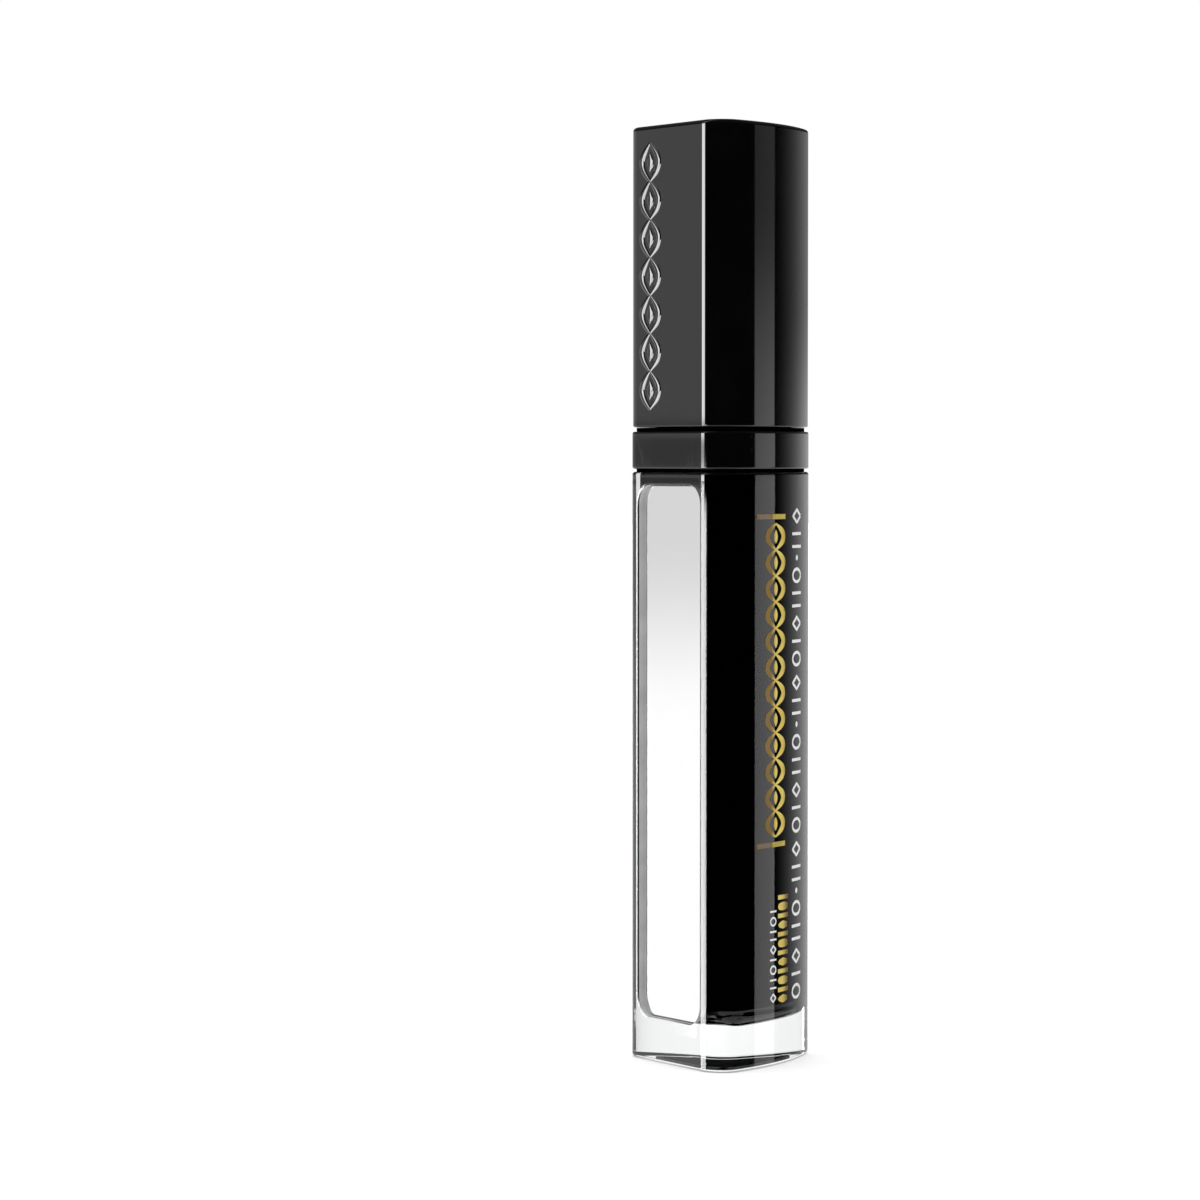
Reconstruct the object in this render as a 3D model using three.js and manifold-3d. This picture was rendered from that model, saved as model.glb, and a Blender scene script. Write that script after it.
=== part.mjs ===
// Mascara tube: a closed wand-and-bottle container, about 130 mm tall.
// Millimetres, +Z up. The origin is on the stem's axis at the underside of the bottle.
// The flat mirror side faces -Y; the ridge where the two curved sides meet points to +Y.
import * as THREE from 'three';
import { mergeVertices } from 'three/addons/utils/BufferGeometryUtils.js';
import Module from 'manifold-3d';

const wasm = await Module();
wasm.setup();

// ---- Driving dimensions -------------------------------------------------------------------
// Heights.
const TUBE_HEIGHT = 130;
const CAP_HEIGHT = 41.8;
const CAP_GROOVE = 0.6;
const GROOVE_CLEARANCE = 0.05;
const COLLAR_HEIGHT = 5.2;
const COLLAR_GROOVE = 0.4;
const GROOVE_SETBACK = 0.6;
const NECK_HEIGHT = 12.4;
const BASE_THICKNESS = 5.8;

// Cross-section: flat side, two bulging sides and the ridge, as if its corners were sharp.
const SECTION_WIDTH = 24.73;
const SECTION_DEPTH = 23.83;
const SIDE_RADIUS = 42.7;
const AXIS_TO_FLAT = 8.52;
const FRONT_CORNER_RADIUS = 3.33;
const RIDGE_RADIUS = 1.4;
const SMALLEST_CORNER = 0.3;

// Outer bottle and its mirror recess.
const BOTTLE_WALL = 1.0;
const BOTTLE_EDGE = 0.4;
const RECESS_BACK_WALL = 0.65;
const MIRROR_DEPTH = 0.85;
const MIRROR_THICKNESS = 1.0;
const ADHESIVE_THICKNESS = 0.15;
const ADHESIVE_MARGIN = 0.8;
const RECESS_SIDE_MARGIN = 0.45;
const RECESS_TOP_MARGIN = 1.8;
const RECESS_BASE_MARGIN = 0.3;
const RECESS_CORNER_RADIUS = 2.8;
const PANE_CLEARANCE = 0.1;

// Base label in its shallow recess.
const LABEL_INSET = 3.0;
const LABEL_THICKNESS = 0.15;
const LABEL_CLEARANCE = 0.05;

// Inner vial, its shoulder flange and neck.
const VIAL_CLEARANCE = 0.1;
const VIAL_WALL = 0.7;
const VIAL_FLOOR = 0.9;
const VIAL_EDGE = 2.5;
const SPIGOT_HEIGHT = 1.6;
const NECK_WALL = 1.0;

// Collar.
const COLLAR_WALL = 1.2;
const COLLAR_TOP = 1.4;
const COLLAR_EDGE = 0.3;
const COLLAR_CLEARANCE = 0.15;

// Cap shell and its threaded liner.
const CAP_SETBACK = 0.1;
const CAP_WALL = 1.1;
const CAP_TOP_WALL = 1.5;
const CAP_EDGE = 0.6;
const CAP_MOUTH_EDGE = 0.25;
const LINER_CLEARANCE = 0.12;
const LINER_WALL = 0.7;
const LINER_PLATE = 1.2;
const LINER_RIM = 1.0;
const LINER_RIM_RECESS = 0.5;
const SOCKET_WALL = 1.3;
const SOCKET_HEIGHT = 10;

// Screw thread, a round bead on the neck and another in the liner.
const THREAD_BEAD = 0.45;
const THREAD_SUNK = 0.25;
const THREAD_PITCH = 3.2;
const THREAD_TURNS = 1.25;
const THREAD_START = 2.6;
const THREAD_CLEARANCE = 0.12;

// Wiper.
const WIPER_CLEARANCE = 0.05;
const WIPER_WALL = 0.5;
const WIPER_LENGTH = 9;
const WIPER_FLANGE = 0.8;
const WIPER_LIP = 3;
const WIPER_GAP = 0.06;
const PLATE_CLEARANCE = 0.2;

// Stem and brush.
const STEM_RADIUS = 2.225;
const STEM_EDGE = 0.3;
const SOCKET_CLEARANCE = 0.04;
const BRUSH_LENGTH = 27.4;
const TIP_ABOVE_FLOOR = 4.8;
const PIN_RADIUS = 0.5;
const PLUG_RADIUS = 1.1;
const PLUG_LENGTH = 6;
const TIP_KNOB_RADIUS = 1.2;
const TIP_KNOB_LENGTH = 1.0;
const TIP_KNOB_NOSE_RADIUS = 0.72;
const TIP_KNOB_NOSE_HEIGHT = 0.15;
const TIP_KNOB_WIDEST = 0.6;
const END_DISC_RADIUS = 1.85;
const END_DISC_THICKNESS = 0.6;
const END_DISC_GAP = 0.3;
const SLEEVE_RADIUS = 0.78;
const SLEEVE_CLEARANCE = 0.03;
const BEAD_RADIUS = 1.75;
const BEAD_THICKNESS = 1.0;
const BEAD_CREST = 0.34;
const BEAD_EVERY = 3;
const NEEDLE_ROWS = 26;
const NEEDLE_PITCH = 0.968;
const FIRST_ROW = 1.35;
const NEEDLES_PER_ROW = 6;
const NEEDLE_REACH_TIP = 2.64;
const NEEDLE_REACH_FULL = 3.93;
const NEEDLE_TAPER_ROWS = 4.5;
const NEEDLE_ROOT_RADIUS = 0.24;
const NEEDLE_POINT_RADIUS = 0.1;

// Contents.
const CREAM_CLEARANCE = 0.05;
const CREAM_BORE_CLEARANCE = 0.2;
const CREAM_HEADSPACE = 10;

// Facets.
const FRONT_CORNER_STEPS = 6;
const SIDE_STEPS = 12;
const RIDGE_STEPS = 3;
const ROUND_STEPS = 32;
const SLEEVE_STEPS = 14;
const NEEDLE_SIDES = 3;
const EDGE_STEPS = 3;
const THREAD_STEPS_PER_TURN = 28;
const CURVE_STEPS = 4;
const OVERCUT = 1;
const WELD_DISTANCE = 1e-5;

// ---- Levels and places worked out from them ------------------------------------------------
const bodyTop = TUBE_HEIGHT - CAP_HEIGHT - CAP_GROOVE - COLLAR_HEIGHT - COLLAR_GROOVE;
const collarBottom = bodyTop + COLLAR_GROOVE;
const collarTop = collarBottom + COLLAR_HEIGHT;
const capMouth = collarTop + CAP_GROOVE;
const neckTop = collarTop + NECK_HEIGHT;
const vialBottom = BASE_THICKNESS + VIAL_CLEARANCE;
const vialFloorTop = vialBottom + VIAL_FLOOR;
const brushTip = vialFloorTop + TIP_ABOVE_FLOOR;
const stemBottom = brushTip + BRUSH_LENGTH;
const plateBottom = neckTop + WIPER_FLANGE + PLATE_CLEARANCE;
const plateTop = plateBottom + LINER_PLATE;
const socketTop = plateTop + SOCKET_HEIGHT;
const cavityFlatInset = MIRROR_DEPTH + MIRROR_THICKNESS + ADHESIVE_THICKNESS + RECESS_BACK_WALL;
const vialInset = BOTTLE_WALL + VIAL_CLEARANCE;
const vialFlatInset = cavityFlatInset + VIAL_CLEARANCE;
const sideCentre = findSideCentre();

const linerRadius = fitRadius(CAP_SETBACK + CAP_WALL) - LINER_CLEARANCE;
const linerBore = linerRadius - LINER_WALL;
const linerCrest = linerBore - THREAD_SUNK;
const neckCrest = linerCrest - THREAD_CLEARANCE;
const neckRadius = neckCrest - (2 * THREAD_BEAD - THREAD_SUNK);
const neckBore = neckRadius - NECK_WALL;
const wiperRadius = neckBore - WIPER_CLEARANCE;
const wiperOrifice = STEM_RADIUS + WIPER_GAP;
const creamBore = NEEDLE_REACH_FULL + CREAM_BORE_CLEARANCE;

// ---- The rounded-triangle section ----------------------------------------------------------

// Centre of the arc of the +X side: it passes through the sharp front corner and the ridge.
function findSideCentre() {
  const corner = new THREE.Vector2(SECTION_WIDTH / 2, -AXIS_TO_FLAT);
  const ridge = new THREE.Vector2(0, SECTION_DEPTH - AXIS_TO_FLAT);
  const chord = ridge.clone().sub(corner);
  const outward = new THREE.Vector2(chord.y, -chord.x).normalize();
  const sagittaBase = Math.sqrt(SIDE_RADIUS ** 2 - (chord.length() / 2) ** 2);
  return corner.clone().add(ridge).multiplyScalar(0.5).addScaledVector(outward, -sagittaBase);
}

// Largest circle about the stem's axis that fits the section set in by an inset.
function fitRadius(inset) {
  return Math.min(AXIS_TO_FLAT - inset, SIDE_RADIUS - inset - sideCentre.length());
}

function arcPoints(x, y, radius, from, to, steps) {
  return new THREE.EllipseCurve(x, y, radius, radius, from, to).getPoints(steps);
}

// Centre and radius of the front corner's round on the +X side.
function frontCorner(inset, flatInset) {
  const radius = Math.max(FRONT_CORNER_RADIUS - inset, SMALLEST_CORNER);
  const y = flatInset - AXIS_TO_FLAT + radius;
  const reach = SIDE_RADIUS - inset - radius;
  const x = sideCentre.x + Math.sqrt(reach ** 2 - (y - sideCentre.y) ** 2);
  return { x, y, radius };
}

// Outline of the section set in by an inset, with an inset of its own for the flat side.
function sectionPoints(inset, flatInset = inset) {
  const front = frontCorner(inset, flatInset);
  const ridgeRadius = Math.max(RIDGE_RADIUS - inset, SMALLEST_CORNER);
  const sideRadius = SIDE_RADIUS - inset;
  const ridgeY = sideCentre.y + Math.sqrt((sideRadius - ridgeRadius) ** 2 - sideCentre.x ** 2);
  const sideFrom = Math.atan2(front.y - sideCentre.y, front.x - sideCentre.x);
  const sideTo = Math.atan2(ridgeY - sideCentre.y, -sideCentre.x);
  const corner = arcPoints(front.x, front.y, front.radius, -Math.PI / 2, sideFrom, FRONT_CORNER_STEPS);
  const side = arcPoints(sideCentre.x, sideCentre.y, sideRadius, sideFrom, sideTo, SIDE_STEPS);
  const ridge = arcPoints(0, ridgeY, ridgeRadius, sideTo, Math.PI / 2, RIDGE_STEPS);
  const right = [...corner, ...side.slice(1), ...ridge.slice(1)];
  const left = right.slice(0, -1).reverse().map((point) => new THREE.Vector2(-point.x, point.y));
  return [...right, ...left];
}

// ---- Solids --------------------------------------------------------------------------------

function toSolid(geometry) {
  const bare = geometry.clone();
  bare.deleteAttribute('normal');
  bare.deleteAttribute('uv');
  const merged = mergeVertices(bare, WELD_DISTANCE);
  const mesh = new wasm.Mesh({
    numProp: 3,
    vertProperties: new Float32Array(merged.attributes.position.array),
    triVerts: new Uint32Array(merged.index.array),
  });
  return new wasm.Manifold(mesh);
}

function toGeometry(solid) {
  const mesh = solid.getMesh();
  const geometry = new THREE.BufferGeometry();
  geometry.setAttribute('position', new THREE.BufferAttribute(mesh.vertProperties, 3));
  geometry.setIndex(new THREE.BufferAttribute(mesh.triVerts, 1));
  geometry.computeVertexNormals();
  return geometry;
}

// A closed body through section outlines: each level is { z, inset, flatInset }.
function loft(levels) {
  const outlines = levels.map((level) => sectionPoints(level.inset, level.flatInset));
  const count = outlines[0].length;
  const positions = outlines.flatMap((outline, row) =>
    outline.flatMap((point) => [point.x, point.y, levels[row].z]));
  const faces = [];
  for (let row = 0; row + 1 < levels.length; row += 1) {
    for (let i = 0; i < count; i += 1) {
      const a = row * count + i;
      const b = row * count + (i + 1) % count;
      faces.push(a, b, b + count, a, b + count, a + count);
    }
  }
  const topRow = (levels.length - 1) * count;
  for (const [a, b, c] of THREE.ShapeUtils.triangulateShape(outlines[0], [])) {
    faces.push(a, c, b);
  }
  for (const [a, b, c] of THREE.ShapeUtils.triangulateShape(outlines.at(-1), [])) {
    faces.push(topRow + a, topRow + b, topRow + c);
  }
  const geometry = new THREE.BufferGeometry();
  geometry.setAttribute('position', new THREE.Float32BufferAttribute(positions, 3));
  geometry.setIndex(faces);
  return toSolid(geometry);
}

// Levels of a quarter-round edge between a level's side and its flat end.
function roundEdge(z, towards, radius, inset, flatInset = inset) {
  return Array.from({ length: EDGE_STEPS + 1 }, (_, step) => {
    const angle = (step / EDGE_STEPS) * (Math.PI / 2);
    const set = radius * (1 - Math.sin(angle));
    return {
      z: z + towards * radius * (1 - Math.cos(angle)),
      inset: inset + set,
      flatInset: flatInset + set,
    };
  });
}

// A straight prism of the section with round edges of their own size at each end.
function roundedPrism(bottom, top, bottomEdge, topEdge, inset, flatInset = inset) {
  return loft([
    ...roundEdge(bottom, 1, bottomEdge, inset, flatInset),
    ...roundEdge(top, -1, topEdge, inset, flatInset).reverse(),
  ]);
}

function prism(bottom, top, inset, flatInset = inset) {
  return loft([{ z: bottom, inset, flatInset }, { z: top, inset, flatInset }]);
}

// A body turned about the stem's axis from [radius, z] points that run up its outside.
function turned(profile, steps = ROUND_STEPS) {
  const points = profile.map(([radius, z]) => new THREE.Vector2(radius, z));
  return toSolid(new THREE.LatheGeometry(points, steps).rotateX(Math.PI / 2));
}

function rod(radius, bottom, top) {
  return turned([[0, bottom], [radius, bottom], [radius, top], [0, top]]);
}

// A rounded rectangle in the mirror's plane, from one depth behind the flat side to another.
function panel(halfWidth, bottom, top, radius, nearDepth, farDepth) {
  const shape = new THREE.Shape();
  shape.moveTo(-halfWidth + radius, bottom);
  shape.absarc(halfWidth - radius, bottom + radius, radius, -Math.PI / 2, 0, false);
  shape.absarc(halfWidth - radius, top - radius, radius, 0, Math.PI / 2, false);
  shape.absarc(-halfWidth + radius, top - radius, radius, Math.PI / 2, Math.PI, false);
  shape.absarc(-halfWidth + radius, bottom + radius, radius, Math.PI, 1.5 * Math.PI, false);
  const settings = { depth: farDepth - nearDepth, bevelEnabled: false, curveSegments: CURVE_STEPS };
  const geometry = new THREE.ExtrudeGeometry(shape, settings);
  geometry.rotateX(Math.PI / 2);
  geometry.translate(0, farDepth - AXIS_TO_FLAT, 0);
  return toSolid(geometry);
}

// A helix about the stem's axis, for the thread beads.
class Helix extends THREE.Curve {
  constructor(radius, bottom) {
    super();
    this.radius = radius;
    this.bottom = bottom;
  }

  getPoint(t, target = new THREE.Vector3()) {
    const angle = t * THREAD_TURNS * 2 * Math.PI;
    const height = this.bottom + t * THREAD_TURNS * THREAD_PITCH;
    return target.set(this.radius * Math.cos(angle), this.radius * Math.sin(angle), height);
  }
}

function threadBead(radius, bottom) {
  const bead = new THREE.Shape();
  bead.absarc(0, 0, THREAD_BEAD, 0, 2 * Math.PI, false);
  const settings = {
    steps: Math.round(THREAD_TURNS * THREAD_STEPS_PER_TURN),
    curveSegments: CURVE_STEPS,
    bevelEnabled: false,
    extrudePath: new Helix(radius, bottom),
  };
  return toSolid(new THREE.ExtrudeGeometry(bead, settings));
}

// ---- Sub-parts -----------------------------------------------------------------------------

const recessHalfWidth = frontCorner(0, 0).x - RECESS_SIDE_MARGIN;
const recessBottom = BASE_THICKNESS + RECESS_BASE_MARGIN;
const recessTop = bodyTop - RECESS_TOP_MARGIN;

// A panel that lies in the mirror recess, smaller than it by a margin all round.
function recessPanel(margin, nearDepth, farDepth) {
  const radius = RECESS_CORNER_RADIUS - margin;
  const halfWidth = recessHalfWidth - margin;
  return panel(halfWidth, recessBottom + margin, recessTop - margin, radius, nearDepth, farDepth);
}

function makeOuterBottle() {
  const recessDepth = MIRROR_DEPTH + MIRROR_THICKNESS + ADHESIVE_THICKNESS;
  const cavity = roundedPrism(
    BASE_THICKNESS, bodyTop + OVERCUT, VIAL_EDGE, 0, BOTTLE_WALL, cavityFlatInset);
  return roundedPrism(0, bodyTop, BOTTLE_EDGE, BOTTLE_EDGE, 0)
    .subtract(cavity)
    .subtract(recessPanel(0, -OVERCUT, recessDepth))
    .subtract(prism(-OVERCUT, LABEL_THICKNESS + LABEL_CLEARANCE, LABEL_INSET - LABEL_CLEARANCE));
}

function makeBaseLabel() {
  return prism(0, LABEL_THICKNESS, LABEL_INSET);
}

function makeMirrorPane() {
  return recessPanel(PANE_CLEARANCE, MIRROR_DEPTH, MIRROR_DEPTH + MIRROR_THICKNESS);
}

function makeMirrorAdhesive() {
  const front = MIRROR_DEPTH + MIRROR_THICKNESS;
  return recessPanel(ADHESIVE_MARGIN, front, front + ADHESIVE_THICKNESS);
}

// The vial's body, the flange that rests on the bottle's rim and carries the collar, the
// spigot that centres the collar, and the threaded neck.
function makeInnerVial() {
  const spigotInset = COLLAR_WALL + COLLAR_CLEARANCE;
  const threadRadius = neckCrest - THREAD_BEAD;
  const outside = roundedPrism(vialBottom, bodyTop, VIAL_EDGE, 0, vialInset, vialFlatInset)
    .add(prism(bodyTop, collarBottom, GROOVE_SETBACK))
    .add(prism(bodyTop, bodyTop + SPIGOT_HEIGHT, spigotInset))
    .add(rod(neckRadius, bodyTop, neckTop))
    .add(threadBead(threadRadius, collarTop + THREAD_START));
  const inset = vialInset + VIAL_WALL;
  const inside = roundedPrism(
    vialFloorTop, bodyTop, VIAL_EDGE - VIAL_WALL, 0, inset, vialFlatInset + VIAL_WALL);
  return outside.subtract(inside).subtract(rod(neckBore, bodyTop - OVERCUT, neckTop + OVERCUT));
}

// The collar, with a low step that fills the groove under the cap.
function makeCollar() {
  const underTop = collarTop - COLLAR_TOP;
  const stepTop = capMouth - GROOVE_CLEARANCE;
  return roundedPrism(collarBottom, collarTop, COLLAR_EDGE, COLLAR_EDGE, 0)
    .add(prism(collarTop, stepTop, GROOVE_SETBACK))
    .subtract(prism(collarBottom - OVERCUT, underTop, COLLAR_WALL))
    .subtract(rod(neckRadius + COLLAR_CLEARANCE, collarBottom, stepTop + OVERCUT));
}

// A sleeve in the neck with a flange on its rim and a cone that closes to the stem.
function makeWiper() {
  const bottom = neckTop - WIPER_LENGTH;
  const top = neckTop + WIPER_FLANGE;
  const bore = wiperRadius - WIPER_WALL;
  return turned([
    [wiperOrifice, bottom],
    [wiperOrifice + WIPER_WALL, bottom],
    [wiperRadius, bottom + WIPER_LIP],
    [wiperRadius, neckTop],
    [neckRadius, neckTop],
    [neckRadius, top],
    [bore, top],
    [bore, bottom + WIPER_LIP],
    [wiperOrifice, bottom + WIPER_WALL],
    [wiperOrifice, bottom],
  ]);
}

function makeCream() {
  const inset = vialInset + VIAL_WALL + CREAM_CLEARANCE;
  const flatInset = vialFlatInset + VIAL_WALL + CREAM_CLEARANCE;
  const bottom = vialFloorTop + CREAM_CLEARANCE;
  const top = bodyTop - CREAM_HEADSPACE;
  return roundedPrism(bottom, top, VIAL_EDGE - VIAL_WALL, 0, inset, flatInset)
    .subtract(rod(creamBore, brushTip - CREAM_BORE_CLEARANCE, top + OVERCUT));
}

function makeCapShell() {
  return roundedPrism(capMouth, TUBE_HEIGHT, CAP_MOUTH_EDGE, CAP_EDGE, CAP_SETBACK)
    .subtract(prism(capMouth - OVERCUT, TUBE_HEIGHT - CAP_TOP_WALL, CAP_SETBACK + CAP_WALL));
}

// The threaded liner: a rim plate that fills the cap's mouth, a sleeve, a plate and a socket.
function makeInnerCap() {
  const rimBottom = capMouth + LINER_RIM_RECESS;
  const rimInset = CAP_SETBACK + CAP_WALL + LINER_CLEARANCE;
  const threadRadius = linerCrest + THREAD_BEAD;
  const boreRadius = STEM_RADIUS + SOCKET_CLEARANCE;
  const bead = threadBead(threadRadius, collarTop + THREAD_START + THREAD_PITCH / 2);
  return rod(linerRadius, rimBottom, plateTop)
    .add(prism(rimBottom, rimBottom + LINER_RIM, rimInset))
    .subtract(rod(linerBore, rimBottom - OVERCUT, plateBottom))
    .add(bead)
    .add(rod(boreRadius + SOCKET_WALL, plateBottom, socketTop + SOCKET_WALL))
    .subtract(rod(boreRadius, plateBottom - OVERCUT, socketTop));
}

function makeStem() {
  const bore = PLUG_RADIUS + SLEEVE_CLEARANCE;
  return turned([
    [0, stemBottom + PLUG_LENGTH],
    [bore, stemBottom + PLUG_LENGTH],
    [bore, stemBottom],
    [STEM_RADIUS - STEM_EDGE, stemBottom],
    [STEM_RADIUS, stemBottom + STEM_EDGE],
    [STEM_RADIUS, socketTop - SOCKET_CLEARANCE],
    [0, socketTop - SOCKET_CLEARANCE],
  ]);
}

const discTop = stemBottom - END_DISC_GAP;
const discBottom = discTop - END_DISC_THICKNESS;
const knobTop = brushTip + TIP_KNOB_LENGTH;

// The brush's pin: tip knob, thin pin, end disc and the plug that sits in the stem.
function makeBrushCore() {
  const discMiddle = (discBottom + discTop) / 2;
  return turned([
    [0, brushTip],
    [TIP_KNOB_NOSE_RADIUS, brushTip + TIP_KNOB_NOSE_HEIGHT],
    [TIP_KNOB_RADIUS, brushTip + TIP_KNOB_WIDEST],
    [SLEEVE_RADIUS, knobTop],
    [PIN_RADIUS, knobTop],
    [PIN_RADIUS, discBottom],
    [SLEEVE_RADIUS, discBottom],
    [END_DISC_RADIUS, discMiddle],
    [PLUG_RADIUS, discTop],
    [PLUG_RADIUS, stemBottom + PLUG_LENGTH - SLEEVE_CLEARANCE],
    [0, stemBottom + PLUG_LENGTH - SLEEVE_CLEARANCE],
  ]);
}

function rowHeight(row) {
  return brushTip + FIRST_ROW + row * NEEDLE_PITCH;
}

// How far the needles of a row reach: short at the tip, full after the taper.
function needleReach(row) {
  const share = 1 - Math.exp(-row / NEEDLE_TAPER_ROWS);
  return NEEDLE_REACH_TIP + (NEEDLE_REACH_FULL - NEEDLE_REACH_TIP) * share;
}

function makeNeedle(row, index) {
  const root = (PIN_RADIUS + SLEEVE_RADIUS) / 2;
  const length = needleReach(row) - root;
  const stagger = (row % 2) / 2;
  const geometry = new THREE.CylinderGeometry(
    NEEDLE_POINT_RADIUS, NEEDLE_ROOT_RADIUS, length, NEEDLE_SIDES);
  geometry.rotateZ(-Math.PI / 2);
  geometry.translate(root + length / 2, 0, 0);
  geometry.rotateZ((index + stagger) * 2 * Math.PI / NEEDLES_PER_ROW);
  geometry.translate(0, 0, rowHeight(row));
  return toSolid(geometry);
}

// The outside of the soft sleeve, with a bead at every third row.
function sleeveOutside(bottom, top) {
  const points = [[SLEEVE_RADIUS, bottom]];
  for (let row = BEAD_EVERY; row < NEEDLE_ROWS; row += BEAD_EVERY) {
    const z = rowHeight(row);
    const half = BEAD_THICKNESS / 2;
    const crest = BEAD_CREST / 2;
    points.push(
      [SLEEVE_RADIUS, z - half], [BEAD_RADIUS, z - crest],
      [BEAD_RADIUS, z + crest], [SLEEVE_RADIUS, z + half],
    );
  }
  points.push([SLEEVE_RADIUS, top]);
  return points;
}

// The soft sleeve over the pin, with its beads and all its needles in one body.
function makeBristles() {
  const bottom = knobTop + SLEEVE_CLEARANCE;
  const top = discBottom - SLEEVE_CLEARANCE;
  const bore = PIN_RADIUS + SLEEVE_CLEARANCE;
  const profile = [[bore, bottom], ...sleeveOutside(bottom, top), [bore, top], [bore, bottom]];
  let sleeve = turned(profile, SLEEVE_STEPS);
  for (let row = 0; row < NEEDLE_ROWS; row += 1) {
    for (let index = 0; index < NEEDLES_PER_ROW; index += 1) {
      sleeve = sleeve.add(makeNeedle(row, index));
    }
  }
  return sleeve;
}

// ---- The assembly --------------------------------------------------------------------------

const finishes = {
  clear: { color: 0xe8ecee, roughness: 0.04, metalness: 0 },
  gloss: { color: 0x08080a, roughness: 0.08, metalness: 0 },
  satin: { color: 0x0c0c0e, roughness: 0.3, metalness: 0 },
  mirror: { color: 0xf2f2f2, roughness: 0.02, metalness: 1 },
  pad: { color: 0x30302e, roughness: 0.8, metalness: 0 },
  label: { color: 0x0b0b0c, roughness: 0.5, metalness: 0 },
  soft: { color: 0xd6d4cc, roughness: 0.45, metalness: 0 },
  bristle: { color: 0x101012, roughness: 0.5, metalness: 0 },
  cream: { color: 0x050506, roughness: 0.35, metalness: 0 },
};

function piece(name, solid, finish) {
  const material = new THREE.MeshStandardMaterial(finishes[finish]);
  const mesh = new THREE.Mesh(toGeometry(solid), material);
  mesh.name = name;
  return mesh;
}

const bottle = new THREE.Group();
bottle.add(
  piece('outer_bottle', makeOuterBottle(), 'clear'),
  piece('inner_vial', makeInnerVial(), 'gloss'),
  piece('shoulder_collar', makeCollar(), 'gloss'),
  piece('wiper', makeWiper(), 'soft'),
  piece('mirror_pane', makeMirrorPane(), 'mirror'),
  piece('mirror_adhesive', makeMirrorAdhesive(), 'pad'),
  piece('base_label', makeBaseLabel(), 'label'),
  piece('mascara_cream', makeCream(), 'cream'),
);

const wand = new THREE.Group();
wand.add(
  piece('stem', makeStem(), 'satin'),
  piece('brush_core', makeBrushCore(), 'satin'),
  piece('brush_bristles', makeBristles(), 'bristle'),
);

const cap = new THREE.Group();
cap.add(
  piece('cap_shell', makeCapShell(), 'gloss'),
  piece('inner_cap', makeInnerCap(), 'satin'),
);

const tube = new THREE.Group();
tube.add(bottle, wand, cap);

export default tube;
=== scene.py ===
"""Mascara tube: a clear heavy-wall bottle with a mirror, and a black cap that carries the wand.

All sizes in the classes are millimetres; meshes are scaled to metres when they are finished.
"""

import itertools
import logging
import math
from collections.abc import Callable, Iterable, Sequence
from dataclasses import dataclass
from enum import Enum

import bmesh
import bpy
from mathutils import Matrix, Vector


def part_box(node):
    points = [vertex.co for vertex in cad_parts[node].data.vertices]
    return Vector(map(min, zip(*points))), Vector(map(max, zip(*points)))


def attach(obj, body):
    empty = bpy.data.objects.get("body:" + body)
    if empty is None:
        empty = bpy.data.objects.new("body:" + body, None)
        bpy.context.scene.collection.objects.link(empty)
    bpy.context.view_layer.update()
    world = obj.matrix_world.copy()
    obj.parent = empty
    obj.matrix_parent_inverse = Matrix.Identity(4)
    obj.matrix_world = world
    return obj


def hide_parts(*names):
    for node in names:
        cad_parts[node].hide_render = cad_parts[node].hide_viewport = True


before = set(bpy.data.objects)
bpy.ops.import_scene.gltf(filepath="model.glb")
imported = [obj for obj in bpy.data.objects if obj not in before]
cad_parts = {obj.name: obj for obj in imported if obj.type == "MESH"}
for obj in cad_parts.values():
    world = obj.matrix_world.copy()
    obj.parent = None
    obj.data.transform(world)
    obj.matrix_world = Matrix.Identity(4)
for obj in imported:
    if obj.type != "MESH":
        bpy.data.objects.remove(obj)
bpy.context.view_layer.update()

MM = 0.001
SHARP_ANGLE = math.radians(31)
WELD_DISTANCE = 1e-5
PATH_STEP = 1e-3
SHORT_EDGE_SHARE = 0.45
LOG = logging.getLogger("mascara_tube")

Surface = Callable[[float, float, float], Vector]


class Body(Enum):
    """The rigid bodies of the tube."""

    BOTTLE = "bottle"
    WAND = "wand"
    CAP = "cap"


class Slot(Enum):
    """The material slots of the pieces that are modelled here."""

    CLEAR = "clear_plastic"
    GLOSS = "black_gloss"
    SATIN = "black_satin"
    BRISTLE = "bristle_rubber"
    WIPER = "soft_wiper"
    MIRROR = "mirror"
    LABEL = "label"


# ---- Shape of the tube ----------------------------------------------------------------------


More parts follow.
